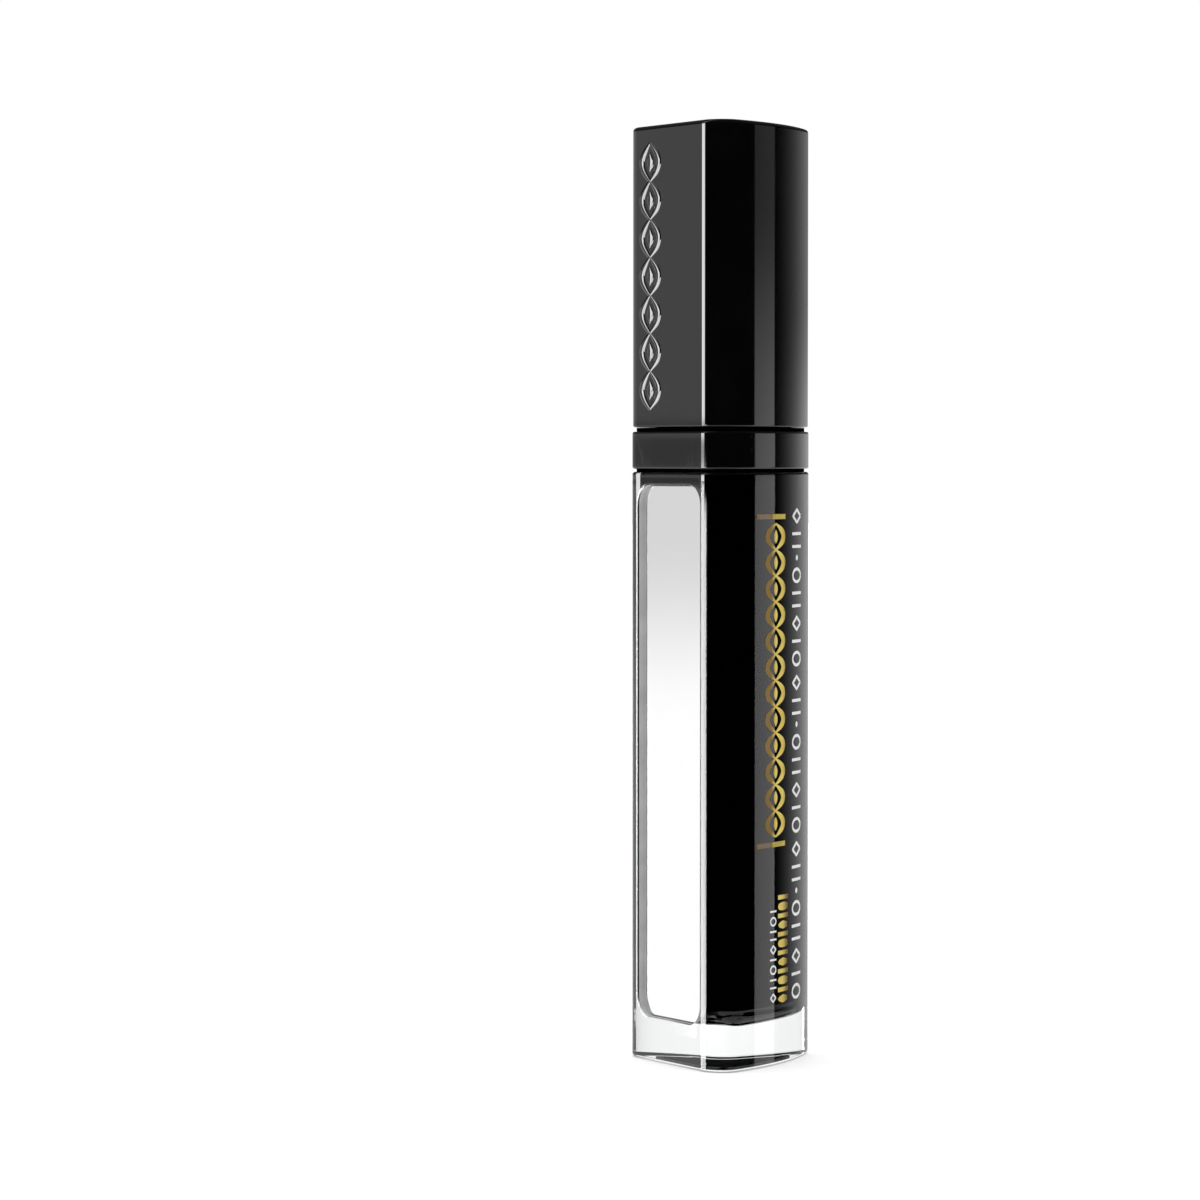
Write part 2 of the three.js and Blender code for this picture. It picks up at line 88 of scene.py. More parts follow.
@dataclass(frozen=True)
class Section:
    """The rounded-triangle section: a flat side to -Y, two bulging sides and a ridge to +Y."""

    width: float = 24.73
    depth: float = 23.83
    side_radius: float = 42.7
    axis_to_flat: float = 8.52
    front_radius: float = 3.33
    ridge_radius: float = 1.4
    smallest_corner: float = 0.3
    flat_steps: int = 24
    corner_steps: int = 14
    side_steps: int = 44
    ridge_steps: int = 6
    guard: float = 0.04

    def side_centre(self) -> Vector:
        """Centre of the +X side's arc.

        Returns:
            The centre in the section's plane.
        """
        corner = Vector((self.width / 2, -self.axis_to_flat))
        ridge = Vector((0.0, self.depth - self.axis_to_flat))
        chord = ridge - corner
        outward = Vector((chord.y, -chord.x)).normalized()
        reach = math.sqrt(self.side_radius**2 - (chord.length / 2) ** 2)
        return (corner + ridge) / 2 - outward * reach

    def front_corner(self, inset: float, flat_inset: float) -> tuple[Vector, float]:
        """Centre and radius of the +X front corner's round.

        Args:
            inset: how far the curved sides are set in.
            flat_inset: how far the flat side is set in.

        Returns:
            The centre and the radius.
        """
        centre = self.side_centre()
        radius = max(self.front_radius - inset, self.smallest_corner)
        y = flat_inset - self.axis_to_flat + radius
        reach = self.side_radius - inset - radius
        x = centre.x + math.sqrt(reach**2 - (y - centre.y) ** 2)
        return Vector((x, y)), radius

    def outline(self, inset: float, flat_inset: float | None = None) -> list[Vector]:
        """The section's outline, counter-clockwise from the middle of the flat side.

        Args:
            inset: how far the sides are set in.
            flat_inset: the flat side's own inset, when it differs.

        Returns:
            The points in the section's plane.
        """
        flat = inset if flat_inset is None else flat_inset
        centre = self.side_centre()
        front, front_radius = self.front_corner(inset, flat)
        ridge_radius = max(self.ridge_radius - inset, self.smallest_corner)
        radius = self.side_radius - inset
        ridge_y = centre.y + math.sqrt((radius - ridge_radius) ** 2 - centre.x**2)
        start = math.atan2(front.y - centre.y, front.x - centre.x)
        end = math.atan2(ridge_y - centre.y, -centre.x)
        half_flat = self.flat_steps // 2
        flat_y = flat - self.axis_to_flat
        points = [Vector((front.x * i / half_flat, flat_y)) for i in range(half_flat)]
        points.append(Vector((front.x - self.guard, flat_y)))
        points += arc(front, front_radius, -math.pi / 2, start, self.corner_steps)[:-1]
        points += arc(centre, radius, start, end, self.side_steps)[:-1]
        points += arc(Vector((0.0, ridge_y)), ridge_radius, end, math.pi / 2, self.ridge_steps)
        mirrored = [Vector((-point.x, point.y)) for point in reversed(points[1:-1])]
        return points + mirrored

    def flat_surface(self, setback: float) -> Surface:
        """A surface on the flat side: across, up and outwards.

        Args:
            setback: how far the surface lies behind the section's flat side.

        Returns:
            A function of the place across, the height and the lift off the surface.
        """
        return lambda u, z, lift: Vector((u, setback - self.axis_to_flat - lift, z))

    def side_surface(self, middle: float) -> Surface:
        """A surface on the +X side: along the arc from a middle angle, up and outwards.

        Args:
            middle: the angle about the arc's centre where the place along it is zero.

        Returns:
            A function of the place along the arc, the height and the lift off the surface.
        """
        centre = self.side_centre()

        def place(u: float, z: float, lift: float) -> Vector:
            """Puts a point of the pattern on the side."""
            angle = middle + u / self.side_radius
            reach = self.side_radius + lift
            return Vector((centre.x + reach * math.cos(angle), centre.y + reach * math.sin(angle), z))

        return place


def arc(centre: Vector, radius: float, start: float, end: float, steps: int) -> list[Vector]:
    """Points along an arc, both ends included.

    Args:
        centre: the arc's centre.
        radius: its radius.
        start: first angle in radians.
        end: last angle in radians.
        steps: number of segments.

    Returns:
        The points in the plane.
    """
    angles = (start + (end - start) * i / steps for i in range(steps + 1))
    return [centre + Vector((math.cos(a), math.sin(a))) * radius for a in angles]


SECTION = Section()


def node_low(node: str) -> Vector:
    """A CAD node's lowest corner, in millimetres."""
    return Vector(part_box(node)[0]) / MM


def node_high(node: str) -> Vector:
    """A CAD node's highest corner, in millimetres."""
    return Vector(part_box(node)[1]) / MM


# ---- Mesh building --------------------------------------------------------------------------


@dataclass(frozen=True)
class Ring:
    """One closed loop of a lofted body: a section outline or a circle at a height.

    A ring with a radius is a circle; otherwise it is the section's outline with its insets.
    """

    z: float
    inset: float = 0.0
    flat_inset: float | None = None
    radius: float | None = None

    def points(self) -> list[Vector]:
        """The ring's points, as many on a circle as on the section's outline."""
        if self.radius is None:
            return [Vector((p.x, p.y, self.z)) for p in SECTION.outline(self.inset, self.flat_inset)]
        count = len(SECTION.outline(0.0))
        turns = (math.tau * (i / count) - math.pi / 2 for i in range(count))
        return [Vector((self.radius * math.cos(a), self.radius * math.sin(a), self.z)) for a in turns]


def add_loop(bm: bmesh.types.BMesh, points: Sequence[Vector]) -> list[bmesh.types.BMEdge]:
    """Adds a closed loop of edges.

    Args:
        bm: the mesh under construction.
        points: the loop's points in order.

    Returns:
        The loop's edges.
    """
    verts = [bm.verts.new(point) for point in points]
    return [bm.edges.new((a, b)) for a, b in zip(verts, verts[1:] + verts[:1])]


def loft(bm: bmesh.types.BMesh, loops: Sequence[Sequence[Vector]], closed: bool = False) -> None:
    """Skins loops in order; the end loops are filled, or joined when the body is a closed ring.

    Args:
        bm: the mesh under construction.
        loops: the points of each loop.
        closed: whether the last loop joins the first.
    """
    rings = [add_loop(bm, points) for points in loops]
    pairs = list(zip(rings, rings[1:])) + ([(rings[-1], rings[0])] if closed else [])
    for lower, upper in pairs:
        bmesh.ops.bridge_loops(bm, edges=lower + upper)
    if not closed:
        for end in (rings[0], rings[-1]):
            bmesh.ops.contextual_create(bm, geom=end)
    bmesh.ops.recalc_face_normals(bm, faces=bm.faces[:])


def lofted(rings: Sequence[Ring], closed: bool = False) -> bmesh.types.BMesh:
    """Builds a mesh skinned over rings.

    Args:
        rings: the rings in order.
        closed: whether the last ring joins the first.

    Returns:
        The new mesh.
    """
    bm = bmesh.new()
    loft(bm, [ring.points() for ring in rings], closed)
    return bm


def quarter(steps: int, rising: bool) -> list[tuple[float, float]]:
    """Shares of a quarter-round edge: how far in and how far along it each step is.

    Args:
        steps: number of segments.
        rising: from the flat end to the wall when true, else from the wall to the flat end.

    Returns:
        Pairs of (inward share, along share), both from 0 to 1 of the radius.
    """
    angles = [math.pi / 2 * i / steps for i in range(steps + 1)]
    shares = [(1 - math.sin(a), 1 - math.cos(a)) for a in angles]
    return shares if rising else shares[::-1]


def edge_rings(
    z: float, towards: int, radius: float, inset: float = 0.0, flat_inset: float | None = None, steps: int = 5
) -> list[Ring]:
    """Rings of a quarter-round edge of a section body, in the order of rising height.

    Args:
        z: height of the flat end.
        towards: 1 when the body lies above that end, -1 when it lies below.
        radius: the edge's radius; negative for an inside edge.
        inset: the wall's inset.
        flat_inset: the flat side's own inset.
        steps: number of segments.

    Returns:
        The rings.
    """
    flat = inset if flat_inset is None else flat_inset
    rings = [
        Ring(z + towards * abs(radius) * along, inset + radius * inward, flat + radius * inward)
        for inward, along in quarter(steps, True)
    ]
    return rings if towards > 0 else rings[::-1]


def spun(profile: Sequence[tuple[float, float]], steps: int = 64) -> bmesh.types.BMesh:
    """Spins a profile about the stem's axis into a closed body.

    Args:
        profile: (radius, height) points; it starts and ends on the axis or closes on itself.
        steps: number of segments round the axis.

    Returns:
        The new mesh.
    """
    bm = bmesh.new()
    verts = [bm.verts.new((radius, 0.0, z)) for radius, z in profile]
    edges = [bm.edges.new(pair) for pair in zip(verts, verts[1:])]
    bmesh.ops.spin(
        bm, geom=verts + edges, cent=(0, 0, 0), axis=(0, 0, 1), dvec=(0, 0, 0), angle=math.tau,
        steps=steps, use_merge=True, use_normal_flip=False, use_duplicate=False,
    )
    bmesh.ops.remove_doubles(bm, verts=bm.verts[:], dist=WELD_DISTANCE)
    bmesh.ops.recalc_face_normals(bm, faces=bm.faces[:])
    return bm


def rounded(corner: tuple[float, float], before: tuple[float, float], after: tuple[float, float],
            radius: float, steps: int = 4) -> list[tuple[float, float]]:
    """Rounds one corner of a profile.

    Args:
        corner: the corner point.
        before: the profile's point before it.
        after: the profile's point after it.
        radius: how far from the corner the round starts and ends.
        steps: number of segments.

    Returns:
        Points along the round.
    """
    middle = Vector(corner)
    start = middle + (Vector(before) - middle).normalized() * radius
    end = middle + (Vector(after) - middle).normalized() * radius
    shares = [i / steps for i in range(steps + 1)]
    curve = [start * (1 - t) ** 2 + middle * (2 * t * (1 - t)) + end * t**2 for t in shares]
    return [(point.x, point.y) for point in curve]


def soften(profile: Sequence[tuple[float, float]], radius: float) -> list[tuple[float, float]]:
    """Rounds every inner corner of an open profile by the same radius, less on short stretches.

    Args:
        profile: the (radius, height) points.
        radius: the wanted round.

    Returns:
        The profile with rounded corners.
    """
    result = [profile[0]]
    for before, corner, after in zip(profile, profile[1:], profile[2:]):
        shortest = min(math.dist(before, corner), math.dist(corner, after))
        result += rounded(corner, before, after, min(radius, SHORT_EDGE_SHARE * shortest))
    return result + [profile[-1]]


def finish_mesh(
    name: str, bm: bmesh.types.BMesh, material: bpy.types.Material, body: Body,
    nodes: Iterable[str] = (), others: Iterable[bpy.types.Material] = (),
) -> bpy.types.Object:
    """Makes the finished piece from a mesh in millimetres and ties it to the frame.

    Args:
        name: the piece's name.
        bm: the mesh; it is freed.
        material: the piece's material.
        body: the body that it rides on.
        nodes: CAD nodes that it stands for.
        others: materials of the faces that were marked with 1, 2 and so on.

    Returns:
        The new object.
    """
    bmesh.ops.scale(bm, vec=(MM, MM, MM), verts=bm.verts[:])
    mesh = bpy.data.meshes.new(name)
    bm.to_mesh(mesh)
    bm.free()
    mesh.shade_smooth()
    mesh.set_sharp_from_angle(angle=SHARP_ANGLE)
    piece = bpy.data.objects.new(name, mesh)
    bpy.context.scene.collection.objects.link(piece)
    weighted = piece.modifiers.new("even_normals", "WEIGHTED_NORMAL")
    weighted.keep_sharp = True
    for finish in (material, *others):
        mesh.materials.append(finish)
    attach(piece, body.value)
    for node in nodes:
        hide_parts(node)
    LOG.info("piece %s: %d faces on %s", name, len(mesh.polygons), body.value)
    return piece


# ---- Ornament strokes -----------------------------------------------------------------------


@dataclass(frozen=True)
class Stroke:
    """A strip of ornament laid on a surface, with a width that may change along it.

    Attributes:
        path: place across and height of the middle line for t from 0 to 1.
        half_width: half the width for t from 0 to 1.
        lift: height of its crown above the surface.
        domed: rounds the crown when true, else it is level.
        steps: segments along it.
        across: segments across it.
    """

    path: Callable[[float], tuple[float, float]]
    half_width: Callable[[float], float]
    lift: float
    domed: bool = False
    steps: int = 40
    across: int = 6

    def add_to(self, bm: bmesh.types.BMesh, surface: Surface, sunk: float) -> None:
        """Adds the stroke to a mesh.

        Args:
            bm: the mesh under construction.
            surface: where it is laid.
            sunk: how far its underside lies under the surface.
        """
        along = bm.verts.layers.float.get("along") or bm.verts.layers.float.new("along")
        side = bm.verts.layers.float.get("side") or bm.verts.layers.float.new("side")
        grid = bmesh.ops.create_grid(bm, x_segments=self.steps, y_segments=self.across, size=0.5)
        lower = grid["verts"]
        for vert in lower:
            vert[along] = vert.co.x + 0.5
            vert[side] = 2 * vert.co.y
        faces = {face for vert in lower for face in vert.link_faces}
        edges = {edge for vert in lower for edge in vert.link_edges}
        region = [*lower, *edges, *faces]
        raised = bmesh.ops.extrude_face_region(bm, geom=region, use_keep_orig=True)["geom"]
        upper = [item for item in raised if isinstance(item, bmesh.types.BMVert)]
        for vert in upper:
            crown = math.sqrt(max(0.0, 1 - vert[side] ** 2)) if self.domed else 1.0
            vert.co = self.place(vert[along], vert[side], surface, self.lift * crown)
        for vert in lower:
            vert.co = self.place(vert[along], vert[side], surface, -sunk)

    def place(self, t: float, side: float, surface: Surface, lift: float) -> Vector:
        """Finds a point of the strip.

        Args:
            t: share along the middle line.
            side: share across, from -1 to 1.
            surface: where the strip is laid.
            lift: height above the surface.

        Returns:
            The point.
        """
        here = Vector(self.path(t))
        ahead = Vector(self.path(min(t + PATH_STEP, 1.0)))
        behind = Vector(self.path(max(t - PATH_STEP, 0.0)))
        tangent = (ahead - behind).normalized()
        normal = Vector((-tangent.y, tangent.x))
        spot = here + normal * (side * self.half_width(t))
        return surface(spot.x, spot.y, lift)


def straight(u: float, low: float, high: float) -> Callable[[float], tuple[float, float]]:
    """A straight upright path at a place across the surface."""
    return lambda t: (u, low + (high - low) * t)


def pointed(width: float) -> Callable[[float], float]:
    """Half-widths of a leaf that is pointed at both ends."""
    return lambda t: max(0.02, width / 2 * math.sin(math.pi * t) ** 0.8)


def strokes_mesh(strokes: Iterable[Stroke], surface: Surface, sunk: float) -> bmesh.types.BMesh:
    """Builds a mesh that holds every stroke.

    Args:
        strokes: the strokes.
        surface: where they are laid.
        sunk: how far their undersides lie under the surface.

    Returns:
        The new mesh.
    """
    bm = bmesh.new()
    for stroke in strokes:
        stroke.add_to(bm, surface, sunk)
    bmesh.ops.recalc_face_normals(bm, faces=bm.faces[:])
    return bm


@dataclass(frozen=True)
class WaveBand:
    """An ornament of two crossing waves with a leaf in each opening.

    Attributes:
        middle: place across of its middle line.
        width: full width of the waves.
        low: height of its lower end.
        high: height of its upper end.
        openings: number of openings along it.
        thin: narrowest width of a wave.
        thick: widest width of a wave.
        leaf: width of the leaves; none when zero.
        lift: height above the surface.
        domed: whether the strokes have a round crown.
    """

    middle: float
    width: float
    low: float
    high: float
    openings: int
    thin: float
    thick: float
    leaf: float
    lift: float
    domed: bool = False

    def wave(self, side: int) -> Stroke:
        """One of the two waves.

        Args:
            side: 1 or -1, the side that it starts to.

        Returns:
            The stroke.
        """
        reach = (self.width - self.thick) / 2
        turns = self.openings / 2

        def path(t: float) -> tuple[float, float]:
            """The wave's middle line."""
            across = side * reach * math.sin(math.tau * turns * t)
            return self.middle + across, self.low + (self.high - self.low) * t

        def half_width(t: float) -> float:
            """Thick at the crests and thin where the waves cross."""
            crest = abs(math.sin(math.tau * turns * t))
            return (self.thin + (self.thick - self.thin) * crest) / 2

        return Stroke(path, half_width, self.lift, self.domed, steps=22 * self.openings)

    def leaves(self) -> list[Stroke]:
        """A leaf in the middle of each opening."""
        pitch = (self.high - self.low) / self.openings
        ends = [self.low + pitch * i for i in range(self.openings)]
        return [
            Stroke(straight(self.middle, z + 0.24 * pitch, z + 0.76 * pitch), pointed(self.leaf),
                   self.lift, self.domed, steps=18)
            for z in ends
        ]

    def strokes(self) -> list[Stroke]:
        """All the strokes of the band."""
        return [self.wave(1), self.wave(-1)] + (self.leaves() if self.leaf > 0 else [])


class Mark(Enum):
    """The plain marks that a printed line is made of."""

    RING = "ring"
    DIAMOND = "diamond"
    PAIR = "pair"
    BAR = "bar"
    DOT = "dot"


@dataclass(frozen=True)
class MarkLine:
    """A printed line of plain marks: rings, diamonds, bars and dots.

    Attributes:
        middle: place across of the line.
        low: height of its lower end.
        high: height of its upper end.
        tall: size of the marks across the line.
        wide: size of the marks along the line.
        gap: space between marks.
        weight: width of the drawn lines.
        lift: height above the surface.
        order: the marks in turn.
        contrast: width of a ring's thin places as a share of its thick ones.
    """

    middle: float
    low: float
    high: float
    tall: float
    wide: float
    gap: float
    weight: float
    lift: float
    order: tuple[Mark, ...]
    contrast: float = 1.0

    def across_bar(self, z: float) -> Stroke:
        """A straight bar across the line at a height."""
        reach = self.tall / 2
        return Stroke(lambda t: (self.middle + reach * (1 - 2 * t), z), lambda t: self.weight / 2,
                      self.lift, steps=2, across=2)

    def closed(self, z: float, corners: int) -> Stroke:
        """A ring or a diamond.

        Args:
            z: height of its middle.
            corners: number of straight sides, many for a ring.

        Returns:
            The stroke round it.
        """
        tall = (self.tall - self.weight) / 2
        wide = (self.wide - self.weight) / 2

        def path(t: float) -> tuple[float, float]:
            """The way round the mark."""
            side, share = divmod(t * corners, 1.0)
            start, end = (math.tau * (side + i) / corners for i in (0, 1))
            across = math.cos(start) * (1 - share) + math.cos(end) * share
            rise = math.sin(start) * (1 - share) + math.sin(end) * share
            return self.middle + tall * across, z + wide * rise

        def half_width(t: float) -> float:
            """Thick at the ends and thin at the sides."""
            return self.weight / 2 * (self.contrast + (1 - self.contrast) * abs(math.sin(math.tau * t)))

        return Stroke(path, half_width, self.lift, steps=max(corners, 24), across=2)

    def mark(self, kind: Mark, z: float) -> list[Stroke]:
        """The strokes of one mark about a height."""
        reach = (self.wide - self.weight) / 2
        if kind is Mark.RING:
            return [self.closed(z, 24)]
        if kind is Mark.DIAMOND:
            return [self.closed(z, 4)]
        if kind is Mark.PAIR:
            return [self.across_bar(z - reach), self.across_bar(z + reach)]
        if kind is Mark.BAR:
            return [self.across_bar(z)]
        return [Stroke(straight(self.middle, z - self.weight, z + self.weight), pointed(2 * self.weight),
                       self.lift, steps=8, across=4)]

    def strokes(self) -> list[Stroke]:
        """All the strokes of the line."""
        made: list[Stroke] = []
        z = self.low
        for kind in itertools.cycle(self.order):
            width = self.weight if kind in (Mark.BAR, Mark.DOT) else self.wide
            if z + width > self.high:
                return made
            made += self.mark(kind, z + width / 2)
            z += width + self.gap


# ---- Finishes -------------------------------------------------------------------------------


class Graph:
    """A short way to write node trees."""

    def __init__(self, tree: bpy.types.NodeTree) -> None:
        """Keeps the tree that nodes are added to."""
        self.tree = tree

    def add(self, kind: str, settings: dict | None = None, **inputs: object) -> bpy.types.Node:
        """Adds a node.

        Args:
            kind: the node's type without its "ShaderNode" prefix.
            settings: node properties by name.
            **inputs: values or output sockets by input name, with spaces as underscores, or
                by position as i0, i1 and so on.

        Returns:
            The node.
        """
        node = self.tree.nodes.new(f"ShaderNode{kind}")
        for key, value in (settings or {}).items():
            setattr(node, key, value)
        for key, value in inputs.items():
            index = int(key[1:]) if key[0] == "i" and key[1:].isdigit() else key.replace("_", " ")
            self.feed(node.inputs[index], value)
        return node

    def feed(self, socket: bpy.types.NodeSocket, value: object) -> None:
        """Links an output to a socket, or sets the socket's constant."""
        if isinstance(value, bpy.types.NodeSocket):
            self.tree.links.new(value, socket)
        else:
            socket.default_value = value

    def math(self, operation: str, a: object, b: object = 0.0) -> bpy.types.NodeSocket:
        """Adds a Math node and gives its output."""
        return self.add("Math", {"operation": operation}, i0=a, i1=b).outputs[0]

    def ramp(self, value: object, low: float, high: float, to_low: float, to_high: float,
             smooth: bool = False) -> bpy.types.NodeSocket:
        """Maps a value from one range to another, held at the ends."""
        kind = "SMOOTHSTEP" if smooth else "LINEAR"
        node = self.add("MapRange", {"interpolation_type": kind}, i0=value, i1=low, i2=high, i3=to_low,
                        i4=to_high)
        return node.outputs[0]

    def mix(self, share: object, a: object, b: object) -> bpy.types.NodeSocket:
        """Mixes two colours."""
        node = self.add("Mix", {"data_type": "RGBA"})
        for index, value in ((0, share), (6, a), (7, b)):
            self.feed(node.inputs[index], value)
        return node.outputs[2]


GROUP_INPUTS = {"Roughness": 0.05, "Smudge": 0.05, "Scratch": 0.03, "Grain": 900.0, "Dust": 0.5}


def handled_surface_group() -> bpy.types.NodeTree:
    """The shared marks of handling: smudges, hairline scratches, fine grain and dust specks.

    Returns:
        The node group, built once.
    """
    name = "handled_surface"
    if name in bpy.data.node_groups:
        return bpy.data.node_groups[name]
    tree = bpy.data.node_groups.new(name, "ShaderNodeTree")
    tree.interface.new_socket("Vector", in_out="INPUT", socket_type="NodeSocketVector")
    for label, value in GROUP_INPUTS.items():
        socket = tree.interface.new_socket(label, in_out="INPUT", socket_type="NodeSocketFloat")
        socket.default_value = value
    for label in ("Roughness", "Height", "Dust"):
        tree.interface.new_socket(label, in_out="OUTPUT", socket_type="NodeSocketFloat")
    graph = Graph(tree)
    source = tree.nodes.new("NodeGroupInput").outputs
    vector = source["Vector"]
    cloud = graph.add("TexNoise", Vector=vector, Scale=70.0, Detail=3.0, Roughness=0.55).outputs["Fac"]
    smudge = graph.ramp(cloud, 0.45, 0.72, 0.0, 1.0, True)
    grain = graph.add("TexNoise", Vector=vector, Scale=source["Grain"], Detail=2.0).outputs["Fac"]
    turned = graph.add("Mapping", Vector=vector, Rotation=(0.5, 0.35, 0.2), Scale=(1.0, 1.0, 0.06))
    hair = graph.add("TexVoronoi", {"feature": "DISTANCE_TO_EDGE"}, Vector=turned.outputs[0], Scale=420.0)
    line = graph.ramp(hair.outputs["Distance"], 0.0, 0.018, 1.0, 0.0)
    scratch = graph.math("MULTIPLY", line, graph.ramp(cloud, 0.5, 0.6, 0.0, 1.0))
    specks = graph.add("TexVoronoi", Vector=vector, Scale=650.0)
    chance = graph.add("SeparateColor", Color=specks.outputs["Color"]).outputs[0]
    chosen = graph.math("GREATER_THAN", chance, 0.93)
    speck = graph.math("MULTIPLY", graph.ramp(specks.outputs["Distance"], 0.05, 0.13, 1.0, 0.0), chosen)
    dust = graph.math("MULTIPLY", speck, source["Dust"])
    rough = graph.math("ADD", source["Roughness"], graph.math("MULTIPLY", smudge, source["Smudge"]))
    rough = graph.math("ADD", rough, graph.math("MULTIPLY", scratch, source["Scratch"]))
    rough = graph.math("ADD", rough, graph.math("MULTIPLY", dust, 0.5))
    height = graph.math("ADD", graph.math("MULTIPLY", grain, 0.5), graph.math("MULTIPLY", cloud, 0.5))
    height = graph.math("SUBTRACT", height, graph.math("MULTIPLY", scratch, 0.3))
    result = tree.nodes.new("NodeGroupOutput")
    for label, value in (("Roughness", rough), ("Height", height), ("Dust", dust)):
        tree.links.new(value, result.inputs[label])
    return tree


Colour = tuple[float, float, float, float]
DUST_COLOUR: Colour = (0.32, 0.31, 0.3, 1.0)


@dataclass(frozen=True)
class Finish:
    """A moulded, printed or coated finish.

    Attributes:
        name: the material's name.
        colour: main colour, linear.
        second: the colour that it drifts to in clouds.
        drift: how much of the second colour the clouds hold.
        drift_scale: size of the clouds, as cycles per metre.
        roughness: lowest roughness.
        smudge: roughness that smudges add.
        scratch: roughness that hairlines add.
        grain: fineness of the surface's grain, as cycles per metre.
        bump: depth of the grain in metres.
        dust: strength of the dust specks.
        metallic: how metallic it is.
        ior: index of refraction.
        transmission: how clear it is.
        subsurface: how much light goes under the surface.
        coat: strength of a clear coat.
    """

    name: str
    colour: Colour
    second: Colour
    drift: float = 0.5
    drift_scale: float = 120.0
    roughness: float = 0.05
    smudge: float = 0.05
    scratch: float = 0.05
    grain: float = 900.0
    bump: float = 0.000002
    dust: float = 0.3
    metallic: float = 0.0
    ior: float = 1.5
    transmission: float = 0.0
    subsurface: float = 0.0
    coat: float = 0.0

    def add_painted_light(self, graph: Graph, place: bpy.types.NodeSocket, colour: bpy.types.NodeSocket
             ) -> bpy.types.NodeSocket:
        """Adds no painted light and leaves the colour as it is; a kind of finish may paint a highlight and
        shade into it.
        """
        return colour

    def material(self) -> bpy.types.Material:
        """Builds the material.

        Returns:
            The new material.
        """
        made = bpy.data.materials.new(self.name)
        made.use_nodes = True
        tree = made.node_tree
        tree.nodes.clear()
        graph = Graph(tree)
        place = graph.add("TexCoord").outputs["Object"]
        marks = graph.add(
            "Group", {"node_tree": handled_surface_group()}, Vector=place, Roughness=self.roughness,
            Smudge=self.smudge, Scratch=self.scratch, Grain=self.grain, Dust=self.dust,
        )
        cloud = graph.add("TexNoise", Vector=place, Scale=self.drift_scale, Detail=3.0).outputs["Fac"]
        share = graph.ramp(cloud, 0.35, 0.7, 0.0, self.drift)
        colour = graph.mix(share, self.colour, self.second)
        # A finish with a painted highlight paints it, with its painted shade, into the colour here.
        colour = self.add_painted_light(graph, place, colour)
        if self.dust > 0 and self.transmission == 0:
            colour = graph.mix(marks.outputs["Dust"], colour, DUST_COLOUR)
        bump = graph.add("Bump", Strength=1.0, Distance=self.bump, Height=marks.outputs["Height"])
        shader = graph.add(
            "BsdfPrincipled", Base_Color=colour, Roughness=marks.outputs["Roughness"],
            Metallic=self.metallic, IOR=self.ior, Transmission_Weight=self.transmission,
            Coat_Weight=self.coat, Coat_Roughness=0.04, Normal=bump.outputs[0],
        )
        if self.subsurface > 0:
            shader.inputs["Subsurface Weight"].default_value = self.subsurface
            shader.inputs["Subsurface Radius"].default_value = (1.0, 0.9, 0.8)
            shader.inputs["Subsurface Scale"].default_value = 0.001
        output = graph.add("OutputMaterial")
        tree.links.new(shader.outputs[0], output.inputs["Surface"])
        return made


@dataclass(frozen=True)
class PaintedHighlightFoil(Finish):
    """A printed foil with a painted highlight along one fixed line and painted shade to both sides of it.

    Attributes:
        painted_highlight_at: place of the painted highlight's line towards +Y, in metres.
        painted_highlight_half: distance from it to where the painted shade is full.
        painted_shade_colour: the painted shade colour away from the line.
    """

    painted_highlight_at: float = 0.0
    painted_highlight_half: float = 0.002
    painted_shade_colour: Colour = (0.1, 0.1, 0.1, 1.0)

    def add_painted_light(self, graph: Graph, place: bpy.types.NodeSocket, colour: bpy.types.NodeSocket
             ) -> bpy.types.NodeSocket:
        """Darkens the colour away from the bright line.

        Args:
            graph: the material's nodes.
            place: the place on the object.
            colour: the colour so far.

        Returns:
            The colour with the painted highlight and painted shade.
        """
        towards = graph.add("SeparateXYZ", Vector=place).outputs["Y"]
        off = graph.math("ABSOLUTE", graph.math("SUBTRACT", towards, self.painted_highlight_at))
        share = graph.ramp(off, self.painted_highlight_half * 0.3, self.painted_highlight_half, 0.0, 1.0, True)
        return graph.mix(share, colour, self.painted_shade_colour)


def grey(value: float) -> Colour:
    """An opaque neutral colour."""
    return (value, value, value, 1.0)


CLEAR_PLASTIC = Finish(
    "clear_plastic", (0.97, 0.985, 0.985, 1.0), (0.94, 0.96, 0.965, 1.0), roughness=0.0, smudge=0.012,
    scratch=0.03, bump=0.0000004, grain=260.0, dust=0.0, ior=1.5, transmission=1.0,
)
GLOSS_BLACK = Finish(
    "gloss_black", grey(0.0012), grey(0.0028), roughness=0.025, smudge=0.03, scratch=0.04,
    grain=240.0, bump=0.0000005, dust=0.05,
)
VIAL_BLACK = Finish(
    "vial_black", grey(0.001), grey(0.0022), roughness=0.03, smudge=0.02, scratch=0.02, bump=0.0000004,
    grain=240.0, dust=0.0,
)
# Near-black lacquer that reflects almost nothing: it lines the bottle's inside and the label's bed, and also
# serves as painted shade in the gaps at the collar.
LACQUER_BLACK_AND_PAINTED_SHADE = Finish(
    "lacquer_black_and_painted_shade", grey(0.0006), grey(0.0012), roughness=0.5, smudge=0.1, bump=0.000001, dust=0.0, ior=1.01,
)
EDGE_BLACK = Finish(
    "edge_black", grey(0.004), grey(0.008), roughness=0.45, smudge=0.1, grain=2600.0, bump=0.000004, dust=0.0,
)
FROSTED_WALL = Finish(
    "frosted_wall", grey(0.66), grey(0.52), drift=0.8, drift_scale=300.0, roughness=0.5, smudge=0.1,
    grain=3000.0, bump=0.000006, dust=0.0,
)
SATIN_BLACK = Finish(
    "satin_black", grey(0.006), grey(0.012), roughness=0.28, smudge=0.08, grain=2600.0, bump=0.000004,
    dust=0.15,
)
MIRROR_SILVER = Finish(
    "mirror_silver", grey(0.94), grey(0.915), roughness=0.0, smudge=0.02,
    scratch=0.02, bump=0.00000005, grain=200.0, dust=0.02, metallic=1.0,
)
